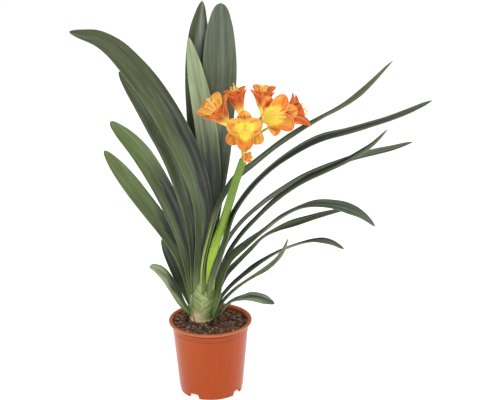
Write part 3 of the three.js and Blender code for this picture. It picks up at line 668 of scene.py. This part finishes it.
class CLIVIA_OT_leaves(Operator):
    """Make the strap leaves along the leaf nodes"""

    bl_idname = "clivia.leaves"
    bl_label = "Leaves"

    def execute(self, context):
        settings = context.scene.clivia_leaf
        material = leaf_material(settings)
        for number, (name, (*look, reach, bluntness)) in enumerate(LEAF_LOOKS.items()):
            points, places, half_width = leaf_points(
                *blade_sections(name), bluntness, settings.wave, 11.3 * number)
            pleat_shading = PLEAT_SHADING[name.split("_")[1]]
            paint = leaf_paint(settings, look, reach, pleat_shading, places, 7.7 * number)
            wide = half_width[:, None]
            spots = spots_at(AROUND * wide + number, places[:, None], (1 - np.abs(AROUND)) * wide)
            bm = new_skin()
            add_skin(bm, points, paint, spots)
            finished(bm, f"fine_{name}", material, "leaf", name)
        return {"FINISHED"}


# ---------------------------------------------------------------- pot and soil

# Sizes of the pot in millimetres, the bearings of its notches in degrees, and its sides.
POT = SimpleNamespace(
    height=118, lip_radius=65, mouth_radius=59.5, lip_height=4, neck_radius=60.4, foot_radius=48.6,
    step_height=9, step_depth=0.8, step_rise=1, wall=1.6, bead_height=101.5, pad_radius=16,
    pad_taper=2, channel_height=7.5, ring_width=3, ring_taper=1, floor_round=1.5, notch_width=17,
    notch_height=7.2, notches=(-34, 56, 146, 236), sides=144,
)
# Lines of painted shade round the pot, under the lip and at the ring: height and half width in
# millimetres, and strength.
POT_SHADES = ((110.9, 1.5, 0.85), (104.6, 0.6, 0.5), (101.7, 0.7, 0.6))
# The soil's level and its gap to the pot in millimetres, the points round it, its rings and seed.
SOIL_LEVEL, SOIL_GAP = 110, 0.3
SOIL_AROUND, SOIL_RINGS, SOIL_SEED = 150, 46, 7
# The dry patch on the soil: its middle and its half sizes in millimetres.
DRY_X, DRY_Y, DRY_HALF_X, DRY_HALF_Y = -48, 14, 9, 12


def pot_radius(z):
    """The pot's outer radius at a height."""
    stepped = POT.step_depth if z < POT.step_height else 0
    return lerp(POT.foot_radius + POT.step_depth, POT.neck_radius, z / POT.height) - stepped


def rounded(corner, before, after, radius):
    """Points that round off a corner of a profile."""
    corner, before, after = Vector(corner), Vector(before), Vector(after)
    start = corner + (before - corner).normalized() * radius
    end = corner + (after - corner).normalized() * radius
    return [start.lerp(corner, t).lerp(corner.lerp(end, t), t)[:] for t in (0, 0.25, 0.5, 0.75, 1)]


def pot_profile(lip_round, bead):
    """The pot's section from the middle of its underside round to the middle of its floor."""
    height, lip, wall, bead_at = POT.height, POT.lip_radius, POT.wall, POT.bead_height
    under, channel, pad = height - POT.lip_height, POT.channel_height, POT.pad_radius
    step, ring, floor = POT.step_height, POT.foot_radius - POT.ring_width, channel + wall
    # Each corner and how far it is rounded.
    corners = [
        ((0, 0), 0), ((pad, 0), 0.6), ((pad + POT.pad_taper, channel), 0.8),
        ((ring - POT.ring_taper, channel), 0.8), ((ring, 0), 0.4), ((POT.foot_radius, 0), 0.8),
        ((pot_radius(step - POT.step_rise), step - POT.step_rise), 0.3),
        ((pot_radius(step), step), 0.4),
        ((pot_radius(bead_at - 1), bead_at - 1), 0.3), ((pot_radius(bead_at) + bead, bead_at), 0.4),
        ((pot_radius(bead_at + 1), bead_at + 1), 0.3), ((pot_radius(under), under), 1.2),
        ((lip, under), lip_round), ((lip, height), lip_round),
        ((POT.mouth_radius, height), lip_round), ((pot_radius(under) - wall, under), 1.2),
        ((pot_radius(step) - wall - POT.floor_round, floor), 2.0), ((0, floor), 0),
    ]
    outline = []
    for k, (corner, radius) in enumerate(corners):
        if radius:
            outline += rounded(corner, corners[k - 1][0], corners[k + 1][0], radius)
        else:
            outline.append(corner)
    return outline


class CLIVIA_OT_pot(Operator):
    """Spin the plastic pot from its profile and lift the notches of its foot"""

    bl_idname = "clivia.pot"
    bl_label = "Pot"

    def execute(self, context):
        settings = context.scene.clivia_pot
        bm = bmesh.new()
        outline = pot_profile(settings.lip_round / MM, settings.bead / MM)
        verts = [bm.verts.new((radius * MM, 0, z * MM)) for radius, z in outline]
        edges = [bm.edges.new(pair) for pair in zip(verts, verts[1:])]
        bmesh.ops.spin(bm, geom=verts + edges, axis=(0, 0, 1), cent=(0, 0, 0), angle=2 * math.pi,
                       steps=POT.sides, use_merge=True, use_duplicate=False)
        bmesh.ops.remove_doubles(bm, verts=bm.verts, dist=1e-6)
        reach = POT.notch_width / 2 / POT.foot_radius
        for vert in bm.verts:
            radius, z = vert.co.xy.length / MM, vert.co.z / MM
            if radius < POT.foot_radius - POT.ring_width - 2 or z > POT.notch_height:
                continue
            bearing = math.atan2(vert.co.x, -vert.co.y)
            for notch in POT.notches:
                away = (bearing - math.radians(notch) + math.pi) % (2 * math.pi) - math.pi
                if abs(away) < reach:
                    share = z / POT.notch_height
                    vert.co.z = lerp(POT.notch_height, POT.step_height - 1.5, share) * MM
        bmesh.ops.recalc_face_normals(bm, faces=bm.faces)
        finished(bm, "moulded_pot", pot_material(settings), "pot", "pot")
        return {"FINISHED"}


class CLIVIA_OT_soil(Operator):
    """Fill the pot with soil and strew crumbs and chips of bark on it"""

    bl_idname = "clivia.soil"
    bl_label = "Soil"

    def execute(self, context):
        settings = context.scene.clivia_soil
        earth, bark = colours_of(settings, "earth", "bark")
        vary = Random(SOIL_SEED).uniform
        edge = (pot_radius(SOIL_LEVEL) - POT.wall - SOIL_GAP) * MM
        foot = (pot_radius(POT.step_height) - POT.wall - POT.floor_round - SOIL_GAP) * MM
        low = (POT.channel_height + POT.wall + SOIL_GAP) * MM

        def height(x, y):
            out = math.hypot(x, y) / edge
            lumps = fractal(Vector((x, y, 0.02)) * 90, 0.8, 2.1, 4) * 1.5
            heaped = (1.6 - x / edge - 0.3 * y / edge) * 2.3 * smoothstep(out, 0.45, 0.9)
            return (SOIL_LEVEL + lumps + heaped - 1.2 * smoothstep(out, 0.96, 1.0)) * MM

        def circle(radius):
            return [(radius * math.sin(a), -radius * math.cos(a)) for a in ring_angles(SOIL_AROUND)]

        points = [[(x, y, low) for x, y in circle(radius)] for radius in (0, foot)]
        for k in range(SOIL_RINGS + 1):
            points.append([(x, y, height(x, y)) for x, y in circle(edge * (1 - k / SOIL_RINGS))])
        paint = [[earth * (0.6 + 0.5 * noise(Vector(p) * 160)) for p in row] for row in points]
        bm = new_skin()
        add_skin(bm, points, np.clip(paint, 0, 1))

        for _ in range(settings.crumbs):
            bearing, out = vary(0, 2 * math.pi), edge * math.sqrt(vary(0, 0.97))
            x, y = out * math.sin(bearing), -out * math.cos(bearing)
            size = settings.crumb_size * vary(0.25, 1.0) ** 1.5
            is_dry = math.hypot((x / MM - DRY_X) / DRY_HALF_X, (y / MM - DRY_Y) / DRY_HALF_Y) < 1
            is_chip = vary(0, 1) < (0.7 if is_dry else 0.1)
            shape = Vector((vary(0.7, 1.3), vary(0.7, 1.3), vary(0.5, 0.9)))
            if is_chip:
                shape = Vector((vary(1.1, 2.2), vary(0.7, 1.1), 0.35))
            turn = Matrix.Rotation(vary(0, 6.3), 4, "Z") @ Matrix.Rotation(vary(-0.6, 0.6), 4, "X")
            place = (Matrix.Translation((x, y, height(x, y) + size * 0.25)) @ turn
                     @ Matrix.Diagonal((*(shape * size), 1)))
            damp = earth * (0.9 + 0.9 * noise((x * 110, y * 110, 0.3)))
            damp = damp * vary(0.4, 1.5) ** 2
            tone = lerp(damp, bark * vary(0.3, 1.2), is_chip)
            for vert in add_ball(bm, 1, place, tone):
                vert.co += Vector([vary(-0.22, 0.22) * size for _ in range(3)])
        finished(bm, "soil_with_crumbs", soil_material(), "soil", "potting_soil")
        return {"FINISHED"}


# ---------------------------------------------------------------- the shaft of leaf bases

SHAFT_Y = 18
# Height, centre, half width and half depth of the shaft.
SHAFT_RINGS = [
    (93, -14, 14, 13), (102, -14, 18, 16.5), (110, -14, 18.2, 17), (118, -13.5, 18.8, 17),
    (126, -12.5, 19.8, 17), (134, -11.5, 21, 17), (142, -10.5, 21.8, 17.5), (150, -10, 22, 17.5),
    (158, -10, 20.5, 17.5), (165, -10.5, 17.5, 16.5), (172, -10.5, 13.5, 14.5), (179, -10, 9, 11),
    (184, -10, 1, 1),
]
SHAFT_AROUND, SHAFT_ROWS = 150, 130
# Where the lowest sheath begins and ends, how far up the next ones end, how much their edges slant
# and how far they stand out.
SHEATH_START, SHEATH_FIRST = 92.0, 100
SHEATH_PITCH = 5.4
SHEATH_SLANT = 15
SHEATH_THICKNESS = 0.6


def sheath_at(side, z):
    """Which sheath shows at a place on the shaft, how far up its visible part that is and how far
    below its edge. side runs from -1 on the left to 1 on the right. Sheaths wrap in from both sides
    in turn, and each one's edge wanders a little."""
    edge_below = SHEATH_START
    for k in count():
        wander = 2.5 * noise((side * 1.6, k * 3.1, 0.7)) + 4.0 * noise((k * 5.3, 0.2, 0.4))
        slant = SHEATH_SLANT * side * (1 if k % 2 else -1)
        edge = SHEATH_FIRST + SHEATH_PITCH * k + slant + wander
        if z < edge:
            return k, (z - edge_below) / max(edge - edge_below, 0.5), edge - z
        edge_below = max(edge, edge_below)


def shaft_tone(tones, side, z, front, layer, share, below):
    """The colour at a place on the shaft: each sheath has its own green, a pale edge and painted
    shade low on its band, where it meets the edge of the sheath below; painted shade runs up the
    sides in the seams between the leaf bases; and the foot is bare, with a scar in front."""
    fresh, green, pale, cream, tan, bruise = tones
    tone = lerp(green, fresh, 0.4 + 0.5 * noise((side * 3, z * 0.05, layer * 1.7)))
    tone = lerp(tone, pale, 0.55 * bell(side - 0.05, 0.4))
    # Painted shade: each sheath is darker low on its band, where it meets the edge of the sheath
    # below.
    tone = tone * lerp(0.72, 1.1, smoothstep(share, 0.0, 0.6))
    clear = min(max(0.7 + 0.9 * noise((side * 4, layer * 2.3, 9)), 0.0), 1.0)
    tone = lerp(tone, lerp(pale, cream, 0.5), clear * (1 - smoothstep(below, 0.35, 1.0)))
    # Painted shade in the seams between the leaf bases up the sides.
    for seam in (0.66, 0.82, 0.94):
        away = abs(side) - seam - 0.003 * (z - 110) + 0.03 * noise((seam * 9, z * 0.06, side))
        tone = tone * (1 - 0.45 * bell(away, 0.035))
    bare = lerp(cream, tan, 0.5 + 0.6 * noise((side * 5, z * 0.2, 2)))
    foot = 1 - smoothstep(z + 3 * noise((side * 6, 3, z * 0.2)), 111, 116)
    tone = lerp(tone, bare, 0.9 * foot)
    if front:
        scar = math.exp(-(((side + 0.5) / 0.42) ** 2 + ((z - 118) / 8) ** 2))
        tone = lerp(tone, bare, min(1.5 * scar, 0.92))
        line = scar * bell(side + 0.85 - 0.019 * (127 - z), 0.06)
        tone = lerp(tone, bruise, min(1.6 * line, 0.9))
    return np.clip(tone, 0, 1)


class CLIVIA_OT_shaft(Operator):
    """Make the swollen shaft of wrapped leaf bases"""

    bl_idname = "clivia.shaft"
    bl_label = "Leaf base shaft"

    def execute(self, context):
        tones = colours_of(
            context.scene.clivia_leaf, "fresh", "sheath", "pale", "cream", "tan", "bruise")
        rings = np.array(SHAFT_RINGS, float)
        heights = np.linspace(rings[0, 0], rings[-1, 0], SHAFT_ROWS)
        sizes = through(rings[:, 0], rings[:, 1:], heights)
        rows = []
        for z, (x, half_width, half_depth) in zip(heights, sizes):
            row = []
            for angle in ring_angles(SHAFT_AROUND):
                side, ahead = math.sin(angle), math.cos(angle)
                layer, share, below = sheath_at(side if ahead > 0 else -side, z)
                out = SHEATH_THICKNESS * (min(max(share, 0), 1) - 0.6)
                out += 0.25 * noise((side * 5, z * 0.12, layer))
                y = SHAFT_Y - (half_depth + out) * ahead
                row.append((
                    ((x + (half_width + out) * side) * MM, y * MM, z * MM),
                    shaft_tone(tones, side, z, ahead > 0, layer, share, below),
                    (angle * half_width * MM, z * MM, 1.0),
                ))
            rows.append(zip(*row))
        bm = new_skin()
        add_skin(bm, *zip(*rows))
        material = stem_material("leaf_sheath", 0.5)
        finished(bm, "wrapped_leaf_bases", material, "sheath", "leaf_base_shaft")
        return {"FINISHED"}


# ---------------------------------------------------------------- the flower stalk and the flowers

STALK_PATH = [(-0.5, 8, 164), (1.5, 7, 184), (4, 4, 214), (11, 0, 245), (21, -7, 276),
              (32, -15, 314), (43, -18, 352), (55, -21, 388)]
STALK_HALF_WIDTH = 7.5
STALK_SQUASH = 0.6
PEDICEL_POINTS = 8
FLOWER_LENGTH = 50

# Each flower: the foot of its tube, the way it faces, its length, how wide it opens and its turn.
Flower = namedtuple("Flower", "foot faces size opening spin")
FLOWERS = [
    Flower((35.5, -18, 438.5), (-0.56, -0.22, 0.8), 57, 0.85, 62),
    Flower((53.5, -7, 449.5), (-0.24, 0.12, 0.97), 51, 0.68, 30),
    Flower((58.5, -18.4, 436.8), (-0.02, -0.97, 0.21), 56, 0.96, 30),
    Flower((86, -16, 451.5), (0.46, -0.79, 0.37), 57, 1.0, 93),
    Flower((84, -2, 449.5), (0.06, -0.02, 0.98), 52, 0.68, 20),
    Flower((106, -3, 439), (0.86, 0.1, 0.43), 52, 1.05, 130),
    Flower((60, -29, 399), (0.05, -0.98, 0.12), 24, 0.7, 0),
]
# A flower's tones. Only the withering one has specks.
Tones = namedtuple("Tones", "orange glow throat outside rim speck")
# The numbers of the flower that withers and of the paler, wide open ones.
WITHERED = 7
WIDE_OPEN = (1, 3, 4)
# The width of each kind of petal and its midrib, and the section of the tube, as radii and heights.
INNER_PETAL = (34, [(4, 9), (9.5, 19), (15, 30), (21, 39), (27.5, 44)])
OUTER_PETAL = (27, [(5.1, 9), (10.8, 18), (17, 28.5), (23.5, 37), (29.5, 41.5)])
TUBE = [(0, 0), (2.8, 0), (3.3, 3), (3.7, 6), (4.6, 9.5), (5.5, 12.4), (5.0, 12.8), (3.6, 10),
        (2.4, 6.5), (0, 4.5)]
TUBE_AROUND, PETAL_ROWS = 24, 24
STAMENS = 6
STAMEN_SEED = 21


def flower_matrix(flower):
    """Takes a flower from upright at the origin, in millimetres, to its place in metres."""
    turn = Vector((0, 0, 1)).rotation_difference(Vector(flower.faces)).to_matrix().to_4x4()
    spin = Matrix.Rotation(math.radians(flower.spin), 4, "Z")
    return (Matrix.Translation(Vector(flower.foot) * MM) @ turn @ spin
            @ Matrix.Scale(flower.size / FLOWER_LENGTH * MM, 4))


def placed(points, matrix):
    """Rows of points taken through a matrix."""
    turn, shift = np.array(matrix.to_3x3()), np.array(matrix.translation)
    return np.asarray(points, float) @ turn.T + shift


def petal_tone(tones, s, share, face, seed):
    """The colour at a place across (-1 to 1) and along (0 to 1) a petal's inner or outer face."""
    reach = abs(s)
    streak = noise((s * 9, share * 2.2, seed))
    broad = noise((s * 3, share * 4, seed + 20))
    if face > 0:
        deep = smoothstep(math.sin(2.3 * seed), 0.2, 0.8)
        middle = lerp(tones.glow, tones.orange, 0.7 * deep)
        near_tip = lerp(tones.orange, tones.outside, 0.6 * deep)
        glow = smoothstep(share + 0.14 * streak + 0.1 * reach, 0.4, 0.72)
        rim = smoothstep(share + 0.35 * reach ** 3 + 0.2 * broad, 0.62, 1.15)
        tone = lerp(lerp(tones.throat, middle, glow), near_tip, rim)
        tone = lerp(tone, tones.outside, 0.8 * glow * smoothstep(streak, 0.0, 0.35))
        # Painted highlight along the edge of the petal's inner face.
        tone = lerp(tone, tones.rim, 0.7 * smoothstep(reach, 0.84, 0.96))
    else:
        glow = smoothstep(share + 0.16 * streak, 0.02, 0.42)
        tone = lerp(tones.throat, tones.outside, glow)
        keel = bell(s, 0.22) * (1 - smoothstep(share, 0.2, 0.85))
        tone = lerp(tone, tones.glow, 0.6 * keel + 0.4 * smoothstep(streak + broad, 0.0, 0.5))
        # Painted highlight along the edge of the petal's outer face.
        tone = lerp(tone, tones.rim, 0.55 * smoothstep(reach, 0.8, 1.0))
    if tones.speck is not None:
        tone = lerp(tone, tones.speck, smoothstep(streak + broad, 0.3, 0.7))
    return np.clip(tone * (1 + 0.3 * streak), 0, 1)


def add_petal(bm, kind, opening, bearing, matrix, tones, seed, curl):
    """One petal of the funnel: it widens from its claw, cups inwards and has a ruffled tip."""
    width, midrib = kind
    bends = np.array(midrib, float)
    bends[:, 0] *= lerp(1, opening, smoothstep(bends[:, 1], midrib[0][1], midrib[1][1] + 4))
    knots = chords(bends)
    shares = 1 - (1 - np.linspace(0, 1, PETAL_ROWS + 1)) ** 1.5
    line = through(knots, bends, shares * knots[-1])
    slopes = unit(np.gradient(line, shares, axis=0))
    narrowing = np.clip((shares - 0.55) / 0.45, 0, 1)
    half_widths = (width / 2 * lerp(0.3, 1, smoothstep(shares, 0, 0.6))
                   * np.sqrt(np.clip(1 - narrowing ** 2, 0, 1)))
    rows = []
    for share, (radius, z), slope, half_width in zip(shares, line, slopes, half_widths):
        row = []
        for s, face in zip(AROUND, FACES):
            reach = abs(s)
            angle = s * min(half_width / radius, 1.05)
            wave = noise((share * 5 + seed, math.copysign(4, s), seed))
            ruffle = 1.1 * reach ** 2 * share ** 2 * wave
            groove = -0.6 * bell(s, 0.14) * smoothstep(share, 0.05, 0.4)
            thickness = 0.35 * math.sqrt(max(1 - reach ** 6, 0))
            thickness *= math.sqrt(max(1 - share ** 12, 0))
            inwards = face * thickness + 0.14 * reach ** 1.4 * half_width * curl + ruffle + groove
            out = radius - slope[1] * inwards
            row.append((
                (out * math.cos(angle), out * math.sin(angle), z + slope[0] * inwards),
                petal_tone(tones, s, share, face, seed),
                (s * half_width * MM + seed, share * knots[-1] * MM, 1.0),
            ))
        rows.append(zip(*row))
    points, paint, spots = zip(*rows)
    turned = matrix @ Matrix.Rotation(math.radians(bearing), 4, "Z")
    add_skin(bm, placed(points, turned), paint, spots)


class CLIVIA_OT_flowers(Operator):
    """Make the trumpet flowers, each a tube with three inner and three outer petals"""

    bl_idname = "clivia.flowers"
    bl_label = "Flowers"

    def execute(self, context):
        settings = context.scene.clivia_flower
        fiery = Tones(*colours_of(settings, *Tones._fields[:-1]), None)
        pale = fiery._replace(orange=lerp(fiery.orange, fiery.glow, 0.7),
                              glow=lerp(fiery.glow, fiery.throat, 0.35))
        old, speck = colours_of(settings, "old", "speck")
        withering = fiery._replace(orange=old, throat=old, outside=old, speck=speck)
        material = petal_material()
        for number, flower in enumerate(FLOWERS, 1):
            is_old = number == WITHERED
            own = withering if is_old else pale if number in WIDE_OPEN else fiery
            curl = 2.6 if is_old else 1.0
            matrix = flower_matrix(flower)
            bm = new_skin()
            angles = ring_angles(TUBE_AROUND)
            points = [[(r * math.cos(a), r * math.sin(a), z) for a in angles] for r, z in TUBE]
            add_skin(bm, placed(points, matrix), [[own.throat] * TUBE_AROUND] * len(TUBE))
            for k in range(3):
                outer, inner = number * 9.1 + k, number * 5.3 + k + 40
                add_petal(bm, OUTER_PETAL, flower.opening, 120 * k + 60, matrix, own, outer, curl)
                add_petal(bm, INNER_PETAL, flower.opening, 120 * k, matrix, own, inner, curl)
                if is_old:
                    smaller = matrix @ Matrix.Scale(0.86, 4)
                    add_petal(bm, INNER_PETAL, 0.3, 120 * k + 30, smaller, own, 77.0 + k, 1.4)
            finished(bm, f"fine_flower_{number}", material, "petal", f"flower_{number}")
        return {"FINISHED"}


class CLIVIA_OT_stamens(Operator):
    """Make the six stamens and the style of each open flower"""

    bl_idname = "clivia.stamens"
    bl_label = "Stamens"

    def execute(self, context):
        settings = context.scene.clivia_flower
        filament, anther, throat = colours_of(settings, "filament", "anther", "throat")
        paint = [throat, filament, filament, filament]
        material = stamen_material(settings)
        vary = Random(STAMEN_SEED).uniform
        for number, flower in enumerate(FLOWERS, 1):
            if number == WITHERED:
                continue
            matrix = flower_matrix(flower)
            scale = flower.size / FLOWER_LENGTH * MM
            radii = [share * scale for share in (0.75, 0.75, 0.65, 0.5)]
            bm = new_skin()
            for k in range(STAMENS + 1):
                is_style = k == STAMENS
                out = 1.0 if is_style else 7.5 * flower.opening * vary(0.85, 1.15)
                top = 53.0 if is_style else 47.0 - 3 * (k % 2) + vary(-1.5, 1.5)
                bearing = 0.3 + (0 if is_style else k / STAMENS * 2 * math.pi)
                spin = matrix @ Matrix.Rotation(bearing, 4, "Z")
                low, middle = (0, 0) if is_style else (0.8, 0.32 * out)
                path = [(low, 0, 7.6), (middle, 0, 0.5 * top),
                        (0.72 * out, 0, 0.82 * top), (out, 0, top)]
                add_tube(bm, placed(path, spin), radii, paint, around=7, rows=14)
                tilt = Matrix.Rotation(vary(-0.5, 0.5), 4, "Y")
                turn = tilt @ Matrix.Rotation(vary(0, 3), 4, "Z")
                size = Matrix.Diagonal((0.7, 0.7, 0.7, 1) if is_style else (1.0, 1.2, 2.6, 1))
                place = spin @ Matrix.Translation((out, 0, top)) @ turn @ size
                add_ball(bm, 2, place, filament if is_style else anther)
            finished(bm, f"fine_stamens_{number}", material, "stamen", f"stamens_{number}")
        return {"FINISHED"}


class CLIVIA_OT_stalk(Operator):
    """Make the flower stalk, the pedicels and the green ovaries"""

    bl_idname = "clivia.stalk"
    bl_label = "Flower stalk"

    def execute(self, context):
        foot, top = colours_of(context.scene.clivia_flower, "stalk_foot", "stalk_top")
        bm = new_skin()
        path = np.array(STALK_PATH, float) * MM
        shares = np.linspace(0, 1, len(path))
        radii = [(STALK_HALF_WIDTH - 1.5 * share) * MM for share in shares]
        paint = [lerp(foot, top, smoothstep(share, 0.1, 0.8)) for share in shares]
        add_tube(bm, path, radii, paint, around=28, rows=70, squash=STALK_SQUASH)
        knob = Vector(STALK_PATH[-1]) + Vector((0, 0, -3))
        paint = [lerp(top, foot, 0.35)] * PEDICEL_POINTS + [lerp(top, foot, 0.2)] * 3
        for flower in FLOWERS:
            scale = flower.size / FLOWER_LENGTH
            facing = Vector(flower.faces).normalized()
            end = Vector(flower.foot) - facing * 0.2
            ovary = end - facing * 10 * scale
            span = (ovary - knob).length
            rising, arriving = knob + Vector((0, 0, 0.4 * span)), ovary - facing * 0.3 * span
            line = []
            for k in range(PEDICEL_POINTS):
                t = k / (PEDICEL_POINTS - 1)
                line.append((1 - t) ** 3 * knob + 3 * t * (1 - t) ** 2 * rising
                            + 3 * t * t * (1 - t) * arriving + t ** 3 * ovary)
            line += [ovary.lerp(end, share) for share in (0.3, 0.65, 1.0)]
            radii = [2 * scale] * PEDICEL_POINTS + [scale * 2.9, scale * 3.15, scale * 2.9]
            line = np.array([point[:] for point in line]) * MM
            add_tube(bm, line, np.array(radii) * MM, paint, around=14, rows=34)
        material = stem_material("flower_stem", 0.48)
        finished(bm, "fine_flower_stalk", material, "stalk", "flower_stalk")
        return {"FINISHED"}


# ---------------------------------------------------------------- stage

WHITE = (1, 1, 1, 1)
# Half the floor's size and how far it lies below the part, in metres.
FLOOR_HALF, FLOOR_GAP = 12.0, 0.3 * MM
# Each lamp: its name, its place and size in metres and its power in watts.
LAMPS = (
    ("key", (-1.4, -1.8, 1.9), 0.9, 22), ("front", (-0.2, -2.4, 0.9), 0.7, 9),
    ("left", (-2.0, 0.1, 0.8), 0.5, 5), ("right", (1.9, -0.4, 1.0), 0.7, 17),
    ("top", (0.0, 0.5, 2.2), 1.2, 14),
)
CAMERA_PLACE = (0.0643, -2.7449, 1.3286)


class CLIVIA_OT_stage(Operator):
    """Set the floor, the light and the camera"""

    bl_idname = "clivia.stage"
    bl_label = "Stage"

    def execute(self, context):
        scene, settings = context.scene, context.scene.clivia_stage
        scene.view_settings.view_transform = "Standard"
        bm = bmesh.new()
        bmesh.ops.create_grid(bm, x_segments=1, y_segments=1, size=FLOOR_HALF)
        bmesh.ops.translate(bm, verts=bm.verts, vec=(0, 0, CAD_BOX[0].z - FLOOR_GAP))
        mesh = bpy.data.meshes.new("floor")
        bm.to_mesh(mesh)
        bm.free()
        mesh.materials.append(new_material(
            "pale_floor", Roughness=0.9, Specular_IOR_Level=0.1, Base_Color=(*settings.floor, 1),
            Emission_Color=WHITE, Emission_Strength=0.68)[0])
        floor = linked("floor", mesh)
        floor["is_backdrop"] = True

        scene.world = bpy.data.worlds.new("studio")
        scene.world.use_nodes = True
        background = scene.world.node_tree.nodes["Background"]
        background.inputs["Color"].default_value = WHITE
        background.inputs["Strength"].default_value = 0.26

        middle = (CAD_BOX[0] + CAD_BOX[1]) / 2
        for name, place, size, power in LAMPS:
            lamp = bpy.data.lights.new(name, "AREA")
            lamp.size, lamp.energy = size, power
            light = linked(name, lamp)
            light.location = place
            light.rotation_euler = (middle - Vector(place)).to_track_quat("-Z", "Y").to_euler()

        lens = bpy.data.cameras.new("camera")
        lens.lens, lens.sensor_width = settings.focal, 36
        scene.camera = linked("camera", lens)
        forward = Vector((0, math.cos(settings.pitch), -math.sin(settings.pitch)))
        right = Vector((1, 0, 0))
        up = right.cross(forward)
        cos, sin = math.cos(settings.roll), math.sin(settings.roll)
        turned = Matrix((right * cos - up * sin, up * cos + right * sin, -forward)).transposed()
        scene.camera.matrix_world = Matrix.Translation(CAMERA_PLACE) @ turned.to_4x4()
        return {"FINISHED"}


class CLIVIA_PT_panel(Panel):
    """Lists the pieces of the clivia"""

    bl_label = "Clivia"
    bl_idname = "CLIVIA_PT_panel"
    bl_space_type = "VIEW_3D"
    bl_region_type = "UI"
    bl_category = "Clivia"

    def draw(self, context):
        for group, operator in PIECES:
            box = self.layout.box()
            box.operator(operator)
            settings = getattr(context.scene, group)
            for name in settings.bl_rna.properties.keys():
                if name not in ("rna_type", "name"):
                    box.prop(settings, name)


GROUPS = {
    "clivia_pot": PotSettings, "clivia_soil": SoilSettings, "clivia_leaf": LeafSettings,
    "clivia_flower": FlowerSettings, "clivia_stage": StageSettings,
}
PIECES = (
    ("clivia_pot", "clivia.pot"), ("clivia_soil", "clivia.soil"), ("clivia_leaf", "clivia.shaft"),
    ("clivia_leaf", "clivia.leaves"), ("clivia_flower", "clivia.stalk"),
    ("clivia_flower", "clivia.flowers"), ("clivia_flower", "clivia.stamens"),
    ("clivia_stage", "clivia.stage"),
)
CLASSES = (
    *GROUPS.values(), CLIVIA_OT_pot, CLIVIA_OT_soil, CLIVIA_OT_shaft, CLIVIA_OT_leaves,
    CLIVIA_OT_stalk, CLIVIA_OT_flowers, CLIVIA_OT_stamens, CLIVIA_OT_stage, CLIVIA_PT_panel,
)


def register():
    for item in CLASSES:
        bpy.utils.register_class(item)
    for name, group in GROUPS.items():
        setattr(bpy.types.Scene, name, PointerProperty(type=group))


def unregister():
    for name in GROUPS:
        delattr(bpy.types.Scene, name)
    for item in reversed(CLASSES):
        bpy.utils.unregister_class(item)


def main():
    register()
    bpy.ops.clivia.pot()
    bpy.ops.clivia.soil()
    bpy.ops.clivia.shaft()
    bpy.ops.clivia.leaves()
    bpy.ops.clivia.stalk()
    bpy.ops.clivia.flowers()
    bpy.ops.clivia.stamens()
    bpy.ops.clivia.stage()
    boxes = [[list(corner) for corner in box] for box in (CAD_BOX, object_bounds())]


if __name__ == "__main__":
    main()
